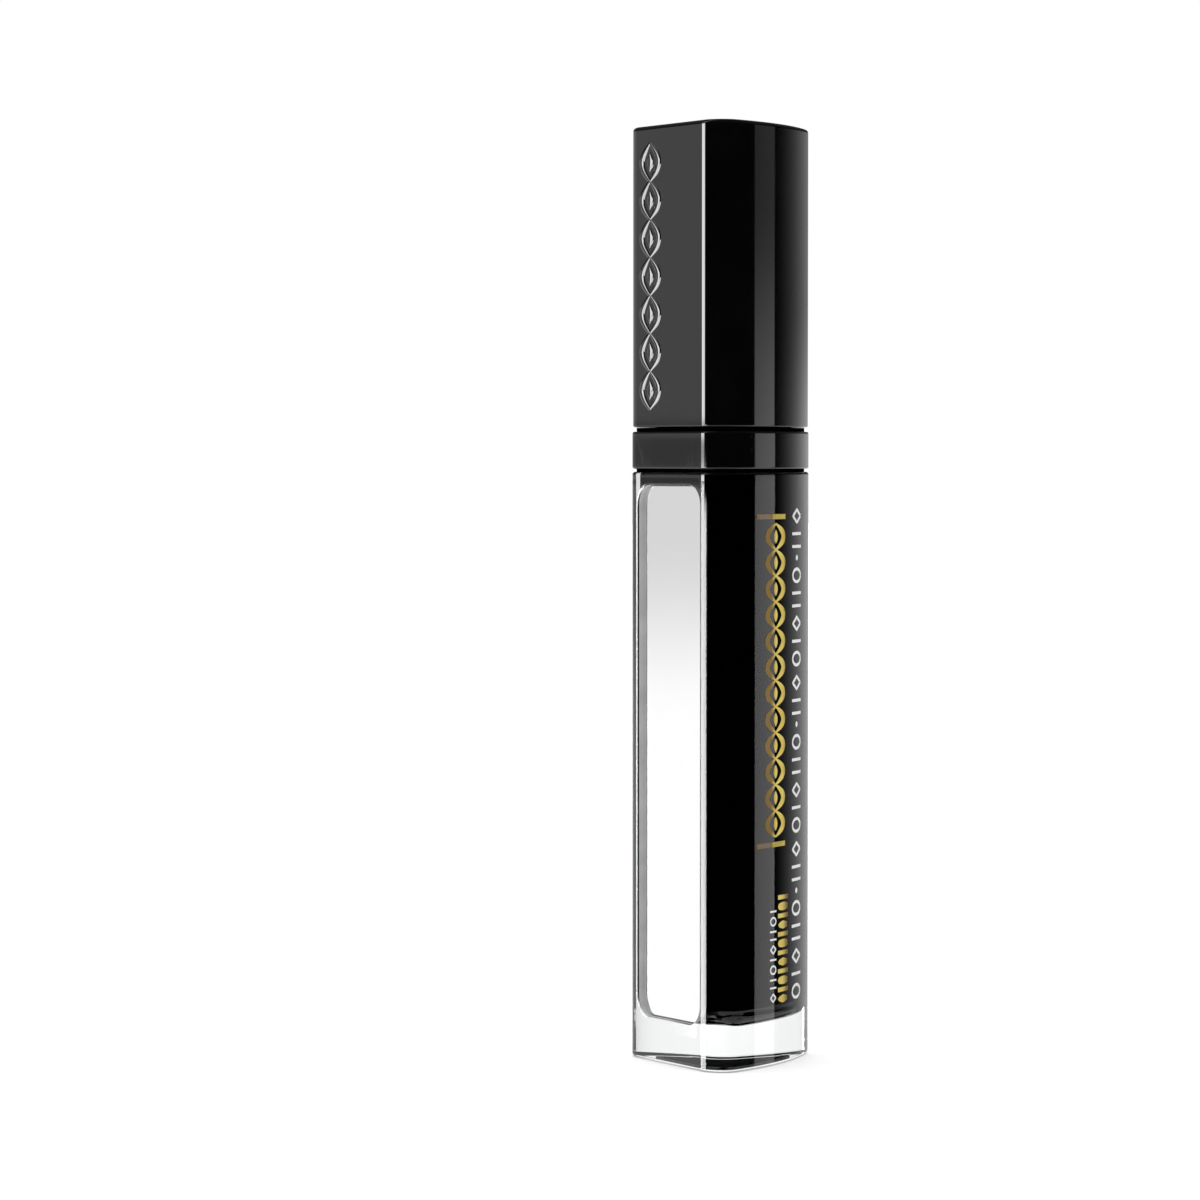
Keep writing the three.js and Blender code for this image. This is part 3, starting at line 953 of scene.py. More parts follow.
# The gold print's bright line is a painted highlight at a fixed place on the +X side, with painted shade to
# both sides, so it does not move with the light.
GOLD_FOIL = PaintedHighlightFoil(
    "gold_foil", (1.0, 0.82, 0.2, 1.0), (0.9, 0.62, 0.09, 1.0), drift=0.7, drift_scale=420.0,
    roughness=0.3, smudge=0.1, grain=2400.0, bump=0.000004, dust=0.0, metallic=0.5,
    painted_highlight_at=(SECTION.side_centre().y + SECTION.side_radius * math.sin(math.radians(27.8))) * MM,
    painted_highlight_half=0.0022, painted_shade_colour=(0.26, 0.16, 0.03, 1.0),
)
WHITE_INK = Finish(
    "white_ink", grey(0.82), grey(0.7), roughness=0.35, smudge=0.1, grain=3000.0, bump=0.000003, dust=0.0,
)
BRISTLE_RUBBER = Finish(
    "bristle_rubber", grey(0.009), grey(0.018), roughness=0.34, smudge=0.1, grain=3200.0, bump=0.000004,
    dust=0.1,
)
WIPER_SOFT = Finish(
    "wiper_soft", (0.74, 0.73, 0.69, 1.0), (0.62, 0.61, 0.57, 1.0), roughness=0.36, smudge=0.1,
    grain=1800.0, bump=0.000004, dust=0.1, subsurface=0.4,
)
PAD_GREY = Finish(
    "pad_grey", grey(0.1), grey(0.06), drift=0.9, drift_scale=900.0, roughness=0.75, grain=2600.0,
    bump=0.00002, dust=0.2,
)
LABEL_DARK = Finish(
    "label_dark", grey(0.004), grey(0.009), roughness=0.4, smudge=0.1, grain=3600.0, bump=0.000004, dust=0.1,
)
CREAM_BLACK = Finish(
    "cream_black", grey(0.003), grey(0.006), roughness=0.22, smudge=0.16, grain=420.0, bump=0.00006, dust=0.0,
    coat=0.4,
)


class FinishShelf:
    """Builds each finish once and hands it out."""

    def __init__(self) -> None:
        """Starts with no materials."""
        self.made: dict[str, bpy.types.Material] = {}

    def get(self, finish: Finish) -> bpy.types.Material:
        """The material of a finish, built on first use."""
        if finish.name not in self.made:
            self.made[finish.name] = finish.material()
        return self.made[finish.name]


# ---- Sub-assemblies -------------------------------------------------------------------------


@dataclass
class Bottle:
    """The clear outer bottle, its mirror, its label and the printed ornament."""

    shelf: FinishShelf
    wall: float = 1.0
    flat_wall: float = 2.65
    edge: float = 0.4
    rim_edge: float = 0.25
    floor_round: float = 3.2
    label_inset: float = 4.65
    label_depth: float = 0.2
    label_edge: float = 0.05
    recess_margin: float = 0.45
    recess_radius: float = 2.8
    recess_depth: float = 2.0
    recess_round: float = 0.22
    pane_round: float = 0.12
    cavity_floor: float = 5.8
    print_lift: float = 0.02
    print_sunk: float = 0.004

    def recess_box(self) -> tuple[float, float, float]:
        """Half width, lower end and upper end of the mirror recess."""
        half = SECTION.front_corner(0, 0)[0].x - self.recess_margin
        pane_gap = half - node_high("mirror_pane").x
        return half, node_low("mirror_pane").z - pane_gap, node_high("mirror_pane").z + pane_gap

    def panel_loop(self, margin: float, depth: float, radius: float) -> list[Vector]:
        """A rounded rectangle parallel to the flat side.

        Args:
            margin: how much smaller than the recess it is all round.
            depth: how far behind the flat side it lies.
            radius: its corner radius.

        Returns:
            The loop's points.
        """
        half, low, high = self.recess_box()
        right = half - margin - radius
        bottom = low + margin + radius
        top = high - margin - radius
        corners = ((right, bottom, -0.5), (right, top, 0.0), (-right, top, 0.5), (-right, bottom, 1.0))
        loop = [
            point for x, z, start in corners
            for point in arc(Vector((x, z)), radius, start * math.pi, (start + 0.5) * math.pi, 10)
        ]
        return [Vector((point.x, depth - SECTION.axis_to_flat, point.y)) for point in loop]

    def shell_rings(self) -> list[Ring]:
        """Rings of the bottle: label recess, outside, rim and cavity."""
        top = node_high("outer_bottle").z
        half, low, high = self.recess_box()
        start = [Ring(self.label_depth, self.label_inset), Ring(0.0, self.label_inset)]
        rim = [
            Ring(top - self.rim_edge * (1 - inward), self.wall - self.rim_edge * along,
                 self.flat_wall - self.rim_edge * along)
            for inward, along in quarter(3, False)
        ]
        cavity = edge_rings(self.cavity_floor, 1, self.floor_round, self.wall, self.flat_wall, steps=12)
        middle = [Ring(low - self.recess_margin), Ring(high + self.recess_margin)]
        return [
            *start, *edge_rings(0.0, 1, self.edge), *middle, *edge_rings(top, -1, self.edge),
            *rim, *cavity[::-1],
        ]

    def cut_recess(self, bm: bmesh.types.BMesh) -> None:
        """Opens the flat side and lays the mirror recess into it.

        Args:
            bm: the closed shell.
        """
        half, low, high = self.recess_box()
        flat_y = -SECTION.axis_to_flat
        corner = SECTION.front_corner(0, 0)[0].x
        opened = [
            face for face in bm.faces
            if abs(face.calc_center_median().y - flat_y) < 1e-4 and low < face.calc_center_median().z < high
            and abs(face.calc_center_median().x) < corner - SECTION.guard
        ]
        border = {
            edge for face in opened for edge in face.edges
            if sum(other in opened for other in edge.link_faces) == 1
        }
        bmesh.ops.delete(bm, geom=opened, context="FACES")
        border = [edge for edge in border if edge.is_valid]
        fillet = self.recess_round
        lip = [
            self.panel_loop(-fillet * inward, fillet * along, self.recess_radius + fillet * inward)
            for inward, along in quarter(4, True)
        ]
        outermost = fillet + SECTION.guard
        lip.insert(0, self.panel_loop(-outermost, 0.0, self.recess_radius + outermost))
        floor = [
            self.panel_loop(self.recess_round * inward, self.recess_depth - self.recess_round * along,
                            self.recess_radius - self.recess_round * inward)
            for inward, along in quarter(3, True)[::-1]
        ]
        rings = [add_loop(bm, points) for points in lip + floor]
        for outer, inner in zip(rings, rings[1:]):
            bmesh.ops.bridge_loops(bm, edges=outer + inner)
        bmesh.ops.contextual_create(bm, geom=rings[-1])
        bmesh.ops.triangle_fill(bm, edges=border + rings[0], use_beauty=True, use_dissolve=False)
        bmesh.ops.recalc_face_normals(bm, faces=bm.faces[:])

    def on_recess_wall(self, middle: Vector) -> bool:
        """Whether a face's middle lies on the upright wall round the mirror, which is frosted."""
        depth = middle.y + SECTION.axis_to_flat
        half, low, high = self.recess_box()
        between = self.recess_round < depth < self.recess_depth
        return between and abs(middle.x) < half + 0.01 and low - 0.01 < middle.z < high + 0.01

    def shell(self) -> bpy.types.Object:
        """The clear outer bottle."""
        bm = lofted(self.shell_rings())
        self.cut_recess(bm)
        for face in bm.faces:
            middle = face.calc_center_median()
            across = (Vector((abs(middle.x), middle.y)) - SECTION.side_centre()).length
            inside = SECTION.side_radius - across > self.wall - 0.1
            behind = middle.y + SECTION.axis_to_flat > self.flat_wall - 0.1
            if inside and behind and middle.z > self.cavity_floor - 0.01:
                face.material_index = 1
            elif abs(middle.z - self.label_depth) < 0.01:
                face.material_index = 1
            elif self.on_recess_wall(middle):
                face.material_index = 2
        others = [self.shelf.get(finish) for finish in (LACQUER_BLACK_AND_PAINTED_SHADE, FROSTED_WALL)]
        return finish_mesh("clear_bottle", bm, self.shelf.get(CLEAR_PLASTIC), Body.BOTTLE,
                           ["outer_bottle"], others)

    def mirror(self) -> bpy.types.Object:
        """The mirror pane with its polished edge."""
        half = self.recess_box()[0]
        margin = half - node_high("mirror_pane").x
        flat = SECTION.axis_to_flat
        front = node_low("mirror_pane").y + flat
        back = node_high("mirror_pane").y + flat
        radius = self.recess_radius - margin
        loops = [
            self.panel_loop(margin + self.pane_round * inward, front + self.pane_round * along,
                            radius - self.pane_round * inward)
            for inward, along in quarter(3, True)
        ]
        loops.append(self.panel_loop(margin, back, radius))
        bm = bmesh.new()
        loft(bm, loops)
        for face in bm.faces:
            if face.calc_center_median().y + flat > front + self.pane_round:
                face.material_index = 1
        return finish_mesh("mirror", bm, self.shelf.get(MIRROR_SILVER), Body.BOTTLE,
                           ["mirror_pane"], [self.shelf.get(EDGE_BLACK)])

    def label(self) -> bpy.types.Object:
        """The dark label that lies flush in the underside."""
        top = node_high("base_label").z
        inset = self.label_inset + self.label_edge
        rings = [
            *edge_rings(0.0, 1, self.label_edge, inset, steps=2),
            *edge_rings(top, -1, self.label_edge / 2, inset, steps=2),
        ]
        return finish_mesh("underside_label", lofted(rings), self.shelf.get(LABEL_DARK), Body.BOTTLE,
                           ["base_label"])

    def prints(self) -> list[bpy.types.Object]:
        """The gold and white ornament on the +X side."""
        surface = SECTION.side_surface(math.radians(25.0))
        gold = [
            WaveBand(1.0, 5.6, 31.6, 74.9, 12, 0.2, 1.15, 1.0, self.print_lift),
            MarkLine(0.0, 30.2, 76.2, 7.7, 0.7, 44.6, 0.7, self.print_lift, (Mark.BAR,)),
            MarkLine(3.3, 8.4, 24.2, 3.1, 1.15, 0.4, 0.62, self.print_lift,
                     (Mark.DIAMOND, Mark.BAR, Mark.RING, Mark.BAR)),
        ]
        white = [
            MarkLine(8.0, 8.4, 78.0, 3.5, 2.2, 1.15, 0.42, self.print_lift,
                     (Mark.RING, Mark.BAR, Mark.DIAMOND, Mark.PAIR, Mark.RING, Mark.DOT, Mark.PAIR,
                      Mark.DIAMOND)),
            MarkLine(0.4, 8.6, 21.8, 1.7, 1.35, 0.6, 0.26, self.print_lift,
                     (Mark.DIAMOND, Mark.PAIR, Mark.RING, Mark.BAR)),
        ]
        pieces = []
        for name, bands, finish in (("gold_print", gold, GOLD_FOIL), ("white_print", white, WHITE_INK)):
            strokes = [stroke for band in bands for stroke in band.strokes()]
            bm = strokes_mesh(strokes, surface, self.print_sunk)
            pieces.append(finish_mesh(name, bm, self.shelf.get(finish), Body.BOTTLE))
        return pieces

    def build(self) -> list[bpy.types.Object]:
        """Builds every piece of the bottle."""
        return [self.shell(), self.mirror(), self.label(), *self.prints()]


@dataclass
class Thread:
    """A round screw bead wound about the stem's axis."""

    radius: float
    bottom: float
    bead: float = 0.45
    pitch: float = 3.2
    turns: float = 1.25
    run_out: float = 0.06
    blunt: float = 0.12
    steps_per_turn: int = 64
    sides: int = 12

    def add_to(self, bm: bmesh.types.BMesh) -> None:
        """Adds the bead as a closed body that tapers out at both ends.

        Args:
            bm: the mesh under construction.
        """
        count = round(self.turns * self.steps_per_turn)
        loops = []
        for i in range(count + 1):
            t = i / count
            size = self.bead * min(1.0, t / self.run_out + self.blunt, (1 - t) / self.run_out + self.blunt)
            turn = Matrix.Rotation(math.tau * self.turns * t, 4, "Z")
            rise = self.bottom + self.pitch * self.turns * t
            loop = arc(Vector((self.radius, rise)), size, 0.0, math.tau, self.sides)[:-1]
            loops.append([turn @ Vector((p.x, 0.0, p.y)) for p in loop])
        loft(bm, loops)


@dataclass
class Vial:
    """The black inner vial with its neck, the collar over its shoulder and the wiper."""

    shelf: FinishShelf
    inset: float = 1.1
    flat_inset: float = 2.75
    wall: float = 0.7
    floor: float = 0.9
    floor_round: float = 2.5
    flange_inset: float = 0.6
    spigot_inset: float = 1.35
    spigot_height: float = 1.6
    neck_radius: float = 5.435
    neck_wall: float = 1.0
    neck_lip: float = 0.35
    neck_bore_edge: float = 0.1
    thread_start: float = 2.6
    thread_bead: float = 0.45
    thread_sunk: float = 0.25
    collar_wall: float = 1.2
    collar_top: float = 1.4
    collar_edge: float = 0.3
    collar_clearance: float = 0.15
    collar_bore_edge: float = 0.15
    step_height: float = 0.55
    wiper_wall: float = 0.5
    wiper_lip: float = 3.0
    wiper_orifice: float = 2.285
    wiper_flange: float = 0.8
    wiper_round: float = 0.22
    wiper_blunt: float = 0.2
    wiper_clearance: float = 0.05

    def vial(self) -> bpy.types.Object:
        """The vial: body, rim flange, spigot, neck and inside."""
        bottom = node_low("inner_vial").z
        top = node_high("outer_bottle").z
        collar_bottom = node_low("shoulder_collar").z
        neck_top = node_high("inner_vial").z
        spigot_top = top + self.spigot_height
        bore = self.neck_radius - self.neck_wall
        inner = self.inset + self.wall
        inner_flat = self.flat_inset + self.wall
        inner_round = self.floor_round - self.wall
        lip = self.neck_lip
        rings = [
            *edge_rings(bottom, 1, self.floor_round, self.inset, self.flat_inset, steps=12),
            Ring(top, self.inset, self.flat_inset), Ring(top, self.flange_inset),
            Ring(collar_bottom, self.flange_inset), Ring(collar_bottom, self.spigot_inset),
            Ring(spigot_top, self.spigot_inset), Ring(spigot_top, radius=self.neck_radius),
            *(Ring(neck_top - lip * (1 - along), radius=self.neck_radius - lip * inward)
              for inward, along in quarter(4, False)),
            Ring(neck_top, radius=bore + self.neck_bore_edge),
            Ring(neck_top - self.neck_bore_edge, radius=bore), Ring(top, radius=bore),
            Ring(top, inner, inner_flat),
            *edge_rings(bottom + self.floor, 1, inner_round, inner, inner_flat, steps=8)[::-1],
        ]
        bm = lofted(rings)
        collar_top = node_high("shoulder_collar").z - self.step_height
        crest = self.neck_radius + 2 * self.thread_bead - self.thread_sunk
        Thread(crest - self.thread_bead, collar_top + self.thread_start, self.thread_bead).add_to(bm)
        # The vial's band between the bottle's rim and the collar gets the near-black lacquer as painted shade
        # in that gap.
        for face in bm.faces:
            if top < face.calc_center_median().z < collar_bottom:
                face.material_index = 1
        return finish_mesh("vial", bm, self.shelf.get(VIAL_BLACK), Body.BOTTLE, ["inner_vial"],
                           [self.shelf.get(LACQUER_BLACK_AND_PAINTED_SHADE)])

    def collar(self) -> bpy.types.Object:
        """The collar over the vial's shoulder."""
        bottom = node_low("shoulder_collar").z
        step_top = node_high("shoulder_collar").z
        top = step_top - self.step_height
        under = top - self.collar_top
        bore = self.neck_radius + self.collar_clearance
        rings = [
            *edge_rings(bottom, 1, self.collar_edge), *edge_rings(top, -1, self.collar_edge),
            Ring(top, self.flange_inset), Ring(step_top, self.flange_inset),
            Ring(step_top, radius=bore + self.collar_bore_edge),
            Ring(step_top - self.collar_bore_edge, radius=bore), Ring(under, radius=bore),
            Ring(under, self.collar_wall), Ring(bottom, self.collar_wall),
        ]
        bm = lofted(rings, closed=True)
        # The collar's step under the cap's mouth gets the near-black lacquer as painted shade in that gap.
        for face in bm.faces:
            if top < face.calc_center_median().z < step_top:
                face.material_index = 1
        return finish_mesh("collar", bm, self.shelf.get(GLOSS_BLACK), Body.BOTTLE,
                           ["shoulder_collar"], [self.shelf.get(LACQUER_BLACK_AND_PAINTED_SHADE)])

    def wiper(self) -> bpy.types.Object:
        """The soft wiper: flange, sleeve and the cone that wipes the stem."""
        top = node_high("wiper").z
        bottom = node_low("wiper").z
        outer = self.neck_radius - self.neck_wall - self.wiper_clearance
        bore = outer - self.wiper_wall
        seat = top - self.wiper_flange
        profile = [
            (self.wiper_orifice + self.wiper_blunt, bottom), (self.wiper_orifice + self.wiper_wall, bottom),
            (outer, bottom + self.wiper_lip), (outer, seat), (self.neck_radius, seat),
            (self.neck_radius, top), (bore, top), (bore, bottom + self.wiper_lip),
            (self.wiper_orifice, bottom + self.wiper_wall), (self.wiper_orifice + self.wiper_blunt, bottom),
        ]
        bm = spun(soften(profile, self.wiper_round))
        return finish_mesh("neck_wiper", bm, self.shelf.get(WIPER_SOFT), Body.BOTTLE, ["wiper"])

    def build(self) -> list[bpy.types.Object]:
        """Builds the vial, the collar and the wiper."""
        return [self.vial(), self.collar(), self.wiper()]


@dataclass
class Cap:
    """The glossy cap with its raised ornament, and the threaded liner inside it."""

    shelf: FinishShelf
    setback: float = 0.1
    wall: float = 1.1
    top_wall: float = 1.5
    edge: float = 0.6
    mouth_edge: float = 0.25
    ornament_lift: float = 0.09
    ornament_sunk: float = 0.05
    ornament_middle: float = -4.8
    ornament_width: float = 5.5
    ornament_margin: float = 2.5
    liner_radius: float = 7.2
    liner_wall: float = 0.7
    rim_inset: float = 1.32
    rim_height: float = 1.0
    plate: float = 1.2
    plate_gap: float = 0.2
    liner_edge: float = 0.3
    socket_wall: float = 1.3
    socket_bore: float = 2.265
    groove: float = 0.6
    thread_start: float = 4.2
    thread_bead: float = 0.45
    thread_sunk: float = 0.25

    def shell(self) -> bpy.types.Object:
        """The cap's shell, with a small chamfer at its mouth and a fine round on its top edge."""
        mouth = node_low("cap_shell").z
        top = node_high("cap_shell").z
        inner = self.setback + self.wall
        rings = [
            *edge_rings(top, -1, self.edge, self.setback, steps=7)[::-1],
            *edge_rings(mouth, 1, self.mouth_edge, self.setback, steps=3)[::-1],
            Ring(mouth, inner - self.mouth_edge), Ring(mouth + self.mouth_edge, inner),
            Ring(top - self.top_wall - self.edge, inner), Ring(top - self.top_wall, inner + self.edge),
        ]
        bm = lofted(rings)
        return finish_mesh("cap", bm, self.shelf.get(GLOSS_BLACK), Body.CAP, ["cap_shell"])

    def ornament(self) -> bpy.types.Object:
        """The raised crossing waves near the left edge of the cap's flat side."""
        low = node_low("cap_shell").z + self.ornament_margin
        high = node_high("cap_shell").z - self.ornament_margin
        band = WaveBand(self.ornament_middle, self.ornament_width, low, high, 7, 0.6, 1.3, 1.7,
                        self.ornament_lift, domed=True)
        bm = strokes_mesh(band.strokes(), SECTION.flat_surface(self.setback), self.ornament_sunk)
        return finish_mesh("cap_ornament", bm, self.shelf.get(GLOSS_BLACK), Body.CAP)

    def liner(self) -> bpy.types.Object:
        """The liner: rim plate, threaded sleeve, plate and the socket that holds the stem."""
        bottom = node_low("inner_cap").z
        top = node_high("inner_cap").z
        plate_bottom = node_high("wiper").z + self.plate_gap
        plate_top = plate_bottom + self.plate
        bore = self.liner_radius - self.liner_wall
        socket = self.socket_bore + self.socket_wall
        edge = self.liner_edge
        rim_top = bottom + self.rim_height
        rings = [
            Ring(top, radius=socket - edge), Ring(top - edge, radius=socket), Ring(plate_top, radius=socket),
            Ring(plate_top, radius=self.liner_radius - edge),
            Ring(plate_top - edge, radius=self.liner_radius),
            Ring(rim_top, radius=self.liner_radius), Ring(rim_top, self.rim_inset),
            Ring(bottom, self.rim_inset), Ring(bottom, radius=bore + self.mouth_edge),
            Ring(bottom + self.mouth_edge, radius=bore),
            Ring(plate_bottom, radius=bore), Ring(plate_bottom, radius=self.socket_bore),
            Ring(top - self.socket_wall, radius=self.socket_bore),
        ]
        bm = lofted(rings)
        start = node_low("cap_shell").z - self.groove + self.thread_start
        crest = bore - self.thread_sunk
        Thread(crest + self.thread_bead, start, self.thread_bead).add_to(bm)
        return finish_mesh("liner", bm, self.shelf.get(SATIN_BLACK), Body.CAP, ["inner_cap"])

    def build(self) -> list[bpy.types.Object]:
        """Builds the cap and its liner."""
        return [self.shell(), self.ornament(), self.liner()]


@dataclass
class Wand:
    """The stem and the moulded brush."""

    shelf: FinishShelf
    stem_radius: float = 2.225
    stem_edge: float = 0.35
    plug_radius: float = 1.1
    plug_length: float = 6.0
    pin_radius: float = 0.5
    sleeve_radius: float = 0.78
    knob_radius: float = 1.2
    knob_length: float = 1.0
    disc_radius: float = 1.85
    disc_thickness: float = 0.6
    disc_gap: float = 0.3
    bead_radius: float = 1.75
    bead_thickness: float = 1.0
    bead_every: int = 3
    rows: int = 26
    pitch: float = 0.968
    first_row: float = 1.35
    per_row: int = 14
    reach_tip: float = 2.64
    reach_full: float = 3.93
    taper_rows: float = 4.5
    root_radius: float = 0.19
    point_radius: float = 0.075
    clearance: float = 0.03

    def stem(self) -> bpy.types.Object:
        """The stem with its rounded end and the bore for the brush's plug."""
        bottom = node_low("stem").z
        top = node_high("stem").z
        bore = self.plug_radius + self.clearance
        radius = self.stem_radius
        profile = [
            (0.0, bottom + self.plug_length), (bore, bottom + self.plug_length), (bore, bottom),
            *rounded((radius, bottom), (bore, bottom), (radius, top), self.stem_edge, 5),
            *rounded((radius, top), (radius, bottom), (0.0, top), self.stem_edge, 3), (0.0, top),
        ]
        bm = spun(profile, 72)
        return finish_mesh("rod", bm, self.shelf.get(GLOSS_BLACK), Body.WAND, ["stem"])

    def levels(self) -> tuple[float, float, float, float]:
        """Heights of the brush tip, the knob's top and the end disc's underside and top."""
        tip = node_low("brush_core").z
        disc_top = node_low("stem").z - self.disc_gap
        return tip, tip + self.knob_length, disc_top - self.disc_thickness, disc_top

    def core(self) -> bpy.types.Object:
        """The brush's pin: round tip, pin, lens-shaped end disc and plug."""
        tip, knob_top, disc_low, disc_top = self.levels()
        plug_top = node_high("brush_core").z
        knob = [
            (self.knob_radius * math.sin(a), tip + self.knob_length * 0.62 * (1 - math.cos(a)))
            for a in (math.pi / 2 * i / 8 for i in range(9))
        ]
        disc = [
            (self.sleeve_radius + (self.disc_radius - self.sleeve_radius) * math.sin(math.pi * t) ** 0.6,
             disc_low + (disc_top - disc_low) * t)
            for t in (i / 10 for i in range(1, 10))
        ]
        profile = [
            *knob, (self.sleeve_radius + 0.1, knob_top), (self.pin_radius, knob_top),
            (self.pin_radius, disc_low), (self.sleeve_radius, disc_low), *disc,
            (self.plug_radius, disc_top), (self.plug_radius, plug_top), (0.0, plug_top),
        ]
        return finish_mesh("brush_pin", spun(profile, 40), self.shelf.get(SATIN_BLACK), Body.WAND,
                           ["brush_core"])

    def row_height(self, row: int) -> float:
        """Height of a row of needles."""
        return self.levels()[0] + self.first_row + row * self.pitch

    def reach(self, row: int) -> float:
        """How far a row's needles reach: short at the tip, full after the taper."""
        share = 1 - math.exp(-row / self.taper_rows)
        return self.reach_tip + (self.reach_full - self.reach_tip) * share

    def sleeve_profile(self) -> list[tuple[float, float]]:
        """The soft sleeve's profile, with a round bead at every third row."""
        _, knob_top, disc_low, _ = self.levels()
        bottom = knob_top + self.clearance
        top = disc_low - self.clearance
        bore = self.pin_radius + self.clearance
        outside = [(self.sleeve_radius, bottom)]
        half = self.bead_thickness / 2
        for row in range(self.bead_every, self.rows, self.bead_every):
            middle = self.row_height(row)
            for i in range(9):
                share = -1 + i / 4
                swell = (1 - share**2) ** 0.42
                outside.append((self.sleeve_radius + (self.bead_radius - self.sleeve_radius) * swell,
                                middle + half * share))
        return [(bore, bottom), *outside, (self.sleeve_radius, top), (bore, top), (bore, bottom)]

    def bristles(self) -> bpy.types.Object:
        """The soft sleeve with its beads and all its tapered needles."""
        bm = spun(self.sleeve_profile(), 32)
        root = (self.pin_radius + self.sleeve_radius) / 2
        for row in range(self.rows):
            length = self.reach(row) - root
            for index in range(self.per_row):
                angle = math.tau * (index + (row % 2) / 2) / self.per_row
                turn = Matrix.Rotation(angle, 4, "Z") @ Matrix.Rotation(math.pi / 2, 4, "Y")
                spot = Matrix.Translation((0, 0, self.row_height(row)))
                out = Matrix.Translation((0, 0, root + length / 2))
                bmesh.ops.create_cone(
                    bm, cap_ends=True, segments=7, radius1=self.root_radius, radius2=self.point_radius,
                    depth=length, matrix=spot @ turn @ out,
                )
        return finish_mesh("bristles", bm, self.shelf.get(BRISTLE_RUBBER), Body.WAND,
                           ["brush_bristles"])

    def build(self) -> list[bpy.types.Object]:
        """Builds the stem, the pin and the bristles."""
        return [self.stem(), self.core(), self.bristles()]


@dataclass
class HiddenContents:
    """The nodes that keep their shape from the frame and get a finish: the pad and the cream."""

    shelf: FinishShelf

    def build(self) -> list[bpy.types.Object]:
        """Dresses the adhesive pad and the cream."""
        dressed = []
        for node, finish in (("mirror_adhesive", PAD_GREY), ("mascara_cream", CREAM_BLACK)):
            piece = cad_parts[node]
            piece.data.materials.clear()
            piece.data.materials.append(self.shelf.get(finish))
            LOG.info("dressed node %s", node)
            dressed.append(piece)
        return dressed


# ---- Studio ---------------------------------------------------------------------------------


@dataclass(frozen=True)
class SkyBand:
    """An upright band of soft light round the horizon.

    Attributes:
        bearing: its middle, in degrees from +X towards +Y.
        half: half its width in degrees.
        soft: width of its soft border in degrees.
        strength: its brightness.
        low: sine of the elevation up to which it is full.
        high: sine of the elevation from which it is faint.
        upper: share of the brightness that is left there.
        dip: share of the brightness that it loses at the level of the horizon.
    """

    bearing: float
    half: float
    soft: float
    strength: float
    low: float = 0.0
    high: float = 1.0
    upper: float = 1.0
    dip: float = 0.0


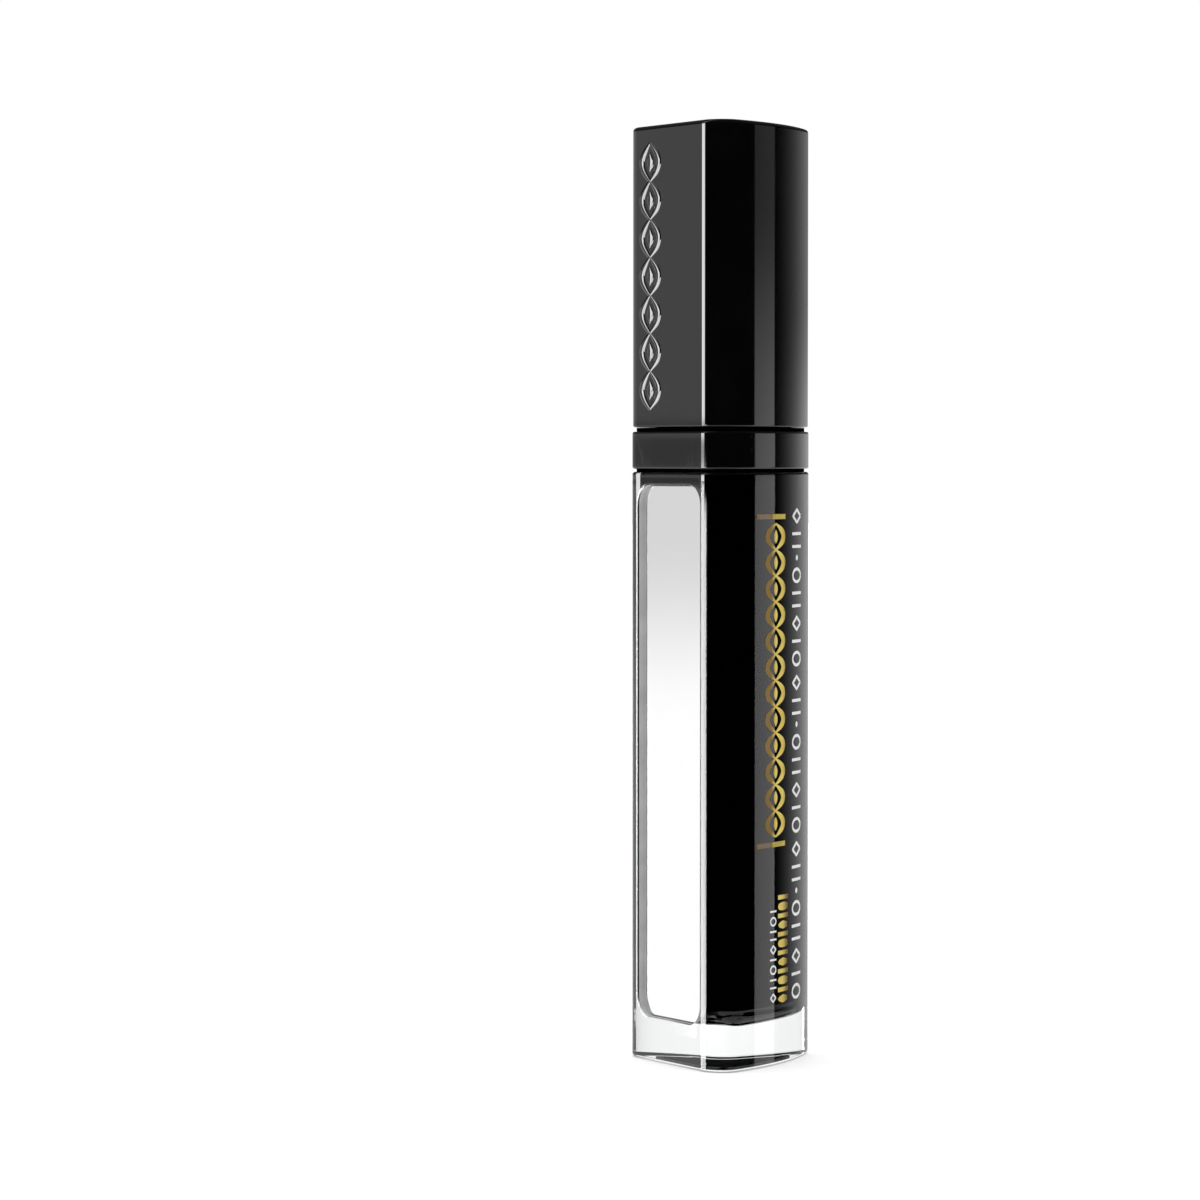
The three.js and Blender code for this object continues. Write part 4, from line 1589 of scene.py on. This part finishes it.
@dataclass
class Studio:
    """The pale floor, the soft surroundings and the camera."""

    floor_size: float = 8.0
    floor_drop: float = 0.0001
    floor_grey: float = 0.9
    floor_glow: float = 0.25
    backdrop: float = 1.0
    overhead: float = 1.3
    overhead_shine: float = 0.05
    below: float = 0.9
    wall_top: float = 0.14
    dip_half: float = 0.0066
    behind: SkyBand = SkyBand(147.0, 92.0, 24.0, 0.97)
    bands: tuple[SkyBand, ...] = (
        SkyBand(183.0, 37.0, 8.0, 1.07, -0.063, -0.0175, 0.67, 0.44),
        SkyBand(139.0, 32.0, 46.0, 1.1, 0.0, 0.035, 0.5),
        SkyBand(-135.0, 9.5, 1.5, 12.0, 0.0, 1.0, 1.0, 0.65),
        SkyBand(-120.5, 8.0, 1.5, 12.0, -0.016, -0.0075, 0.0),
        SkyBand(79.5, 6.8, 0.8, 1.06, -0.005, 0.06, 0.24),
    )
    lens: float = 131.5
    bearing: float = 56.4
    distance: float = 609.0
    height: float = 84.3
    aim_height: float = 64.2
    aim_left: float = 15.32
    middle: float = -1.57

    def floor(self) -> bpy.types.Object:
        """The plain pale floor; it isn't part of the object and polished pieces don't show it."""
        bm = bmesh.new()
        bmesh.ops.create_grid(bm, x_segments=2, y_segments=2, size=self.floor_size / 2)
        bmesh.ops.translate(bm, vec=(0, 0, -self.floor_drop), verts=bm.verts[:])
        mesh = bpy.data.meshes.new("floor")
        bm.to_mesh(mesh)
        bm.free()
        floor = bpy.data.objects.new("floor", mesh)
        bpy.context.scene.collection.objects.link(floor)
        material = bpy.data.materials.new("floor_paper")
        material.use_nodes = True
        shader = material.node_tree.nodes["Principled BSDF"]
        shader.inputs["Base Color"].default_value = grey(self.floor_grey)
        shader.inputs["Roughness"].default_value = 0.9
        shader.inputs["Specular IOR Level"].default_value = 0.0
        shader.inputs["Emission Color"].default_value = grey(1.0)
        shader.inputs["Emission Strength"].default_value = self.floor_glow
        mesh.materials.append(material)
        floor.visible_glossy = False
        floor.visible_transmission = False
        return floor

    def band(self, graph: Graph, heading: bpy.types.NodeSocket, rise: bpy.types.NodeSocket,
             band: SkyBand) -> bpy.types.NodeSocket:
        """Brightness of one band of the surroundings.

        Args:
            graph: the world's nodes.
            heading: the direction's level part, of length one.
            rise: sine of the direction's elevation.
            band: the band.

        Returns:
            The brightness.
        """
        angle = math.radians(band.bearing)
        towards = graph.add("VectorMath", {"operation": "DOT_PRODUCT"}, i0=heading,
                            i1=(math.cos(angle), math.sin(angle), 0.0)).outputs["Value"]
        off = graph.math("MULTIPLY", graph.math("ARCCOSINE", towards), 180 / math.pi)
        start, end = band.half - band.soft / 2, band.half + band.soft / 2
        light = graph.ramp(off, start, end, band.strength, 0.0, True)
        light = graph.math("MULTIPLY", light, graph.ramp(rise, band.low, band.high, 1.0, band.upper, True))
        level = graph.math("ABSOLUTE", rise)
        dip = graph.ramp(level, self.dip_half * 0.9, self.dip_half * 1.1, 1 - band.dip, 1.0, True)
        return graph.math("MULTIPLY", light, dip)

    def surroundings(self) -> None:
        """The world: soft bands round the horizon, a bright ceiling and a plain pale backdrop."""
        world = bpy.data.worlds.new("studio")
        bpy.context.scene.world = world
        world.use_nodes = True
        tree = world.node_tree
        tree.nodes.clear()
        graph = Graph(tree)
        direction = graph.add("TexCoord").outputs["Generated"]
        level = graph.add("VectorMath", {"operation": "MULTIPLY"}, i0=direction, i1=(1.0, 1.0, 0.0))
        heading = graph.add("VectorMath", {"operation": "NORMALIZE"}, i0=level.outputs[0]).outputs[0]
        rise = graph.add("SeparateXYZ", Vector=direction).outputs["Z"]
        walls: object = 0.0
        for band in self.bands:
            walls = graph.math("MAXIMUM", walls, self.band(graph, heading, rise, band))
        path = graph.add("LightPath").outputs
        fade = graph.ramp(rise, self.wall_top * 0.7, self.wall_top, 1.0, 0.1, True)
        walls = graph.math("MULTIPLY", walls, fade)
        through = self.band(graph, heading, rise, self.behind)
        walls = graph.math("MAXIMUM", walls, graph.math("MULTIPLY", path["Is Transmission Ray"], through))
        shine = graph.math("MULTIPLY", path["Is Glossy Ray"], self.overhead - self.overhead_shine)
        overhead = graph.math("SUBTRACT", self.overhead, shine)
        up = graph.ramp(rise, 0.22, 0.55, 0.0, 1.0, True)
        down = graph.ramp(rise, -0.4, -0.22, 1.0, 0.0, True)
        walls = graph.math("MULTIPLY", walls, graph.math("SUBTRACT", 1.0, down))
        total = graph.math("ADD", walls, graph.math("MULTIPLY", up, overhead))
        total = graph.math("ADD", total, graph.math("MULTIPLY", down, self.below))
        soft = graph.add("Background", Color=(1, 1, 1, 1), Strength=total)
        plain = graph.add("Background", Color=(1, 1, 1, 1), Strength=self.backdrop)
        both = graph.add("MixShader", i0=path["Is Camera Ray"], i1=soft.outputs[0], i2=plain.outputs[0])
        output = graph.add("OutputWorld")
        tree.links.new(both.outputs[0], output.inputs["Surface"])

    def camera(self) -> bpy.types.Object:
        """The camera, level with the collar and looking slightly down at the front corner.

        Returns:
            The camera object.
        """
        angle = math.radians(self.bearing)
        towards = Vector((math.sin(angle), -math.cos(angle), 0.0))
        left = Vector((-math.cos(angle), -math.sin(angle), 0.0))
        centre = Vector((0.0, self.middle, 0.0))
        spot = (centre + towards * self.distance + Vector((0, 0, self.height))) * MM
        aim = (centre + left * self.aim_left + Vector((0, 0, self.aim_height))) * MM
        data = bpy.data.cameras.new("camera")
        data.lens = self.lens
        data.clip_start = 0.01
        camera = bpy.data.objects.new("camera", data)
        bpy.context.scene.collection.objects.link(camera)
        camera.location = spot
        camera.rotation_euler = (aim - spot).to_track_quat("-Z", "Y").to_euler()
        bpy.context.scene.camera = camera
        return camera

    def build(self) -> None:
        """Sets up the floor, the surroundings and the camera."""
        self.floor()
        self.surroundings()
        self.camera()
        bpy.context.scene.view_settings.view_transform = "Standard"


def main() -> None:
    """Builds the studio and every sub-assembly in order, and reports the pieces."""
    logging.basicConfig(level=logging.INFO, format="%(message)s")
    Studio().build()
    shelf = FinishShelf()
    for assembly in (Bottle(shelf), Vial(shelf), Wand(shelf), Cap(shelf), HiddenContents(shelf)):
        made = assembly.build()
        LOG.info("%s: %d pieces", type(assembly).__name__, len(made))


if __name__ == "__main__":
    main()
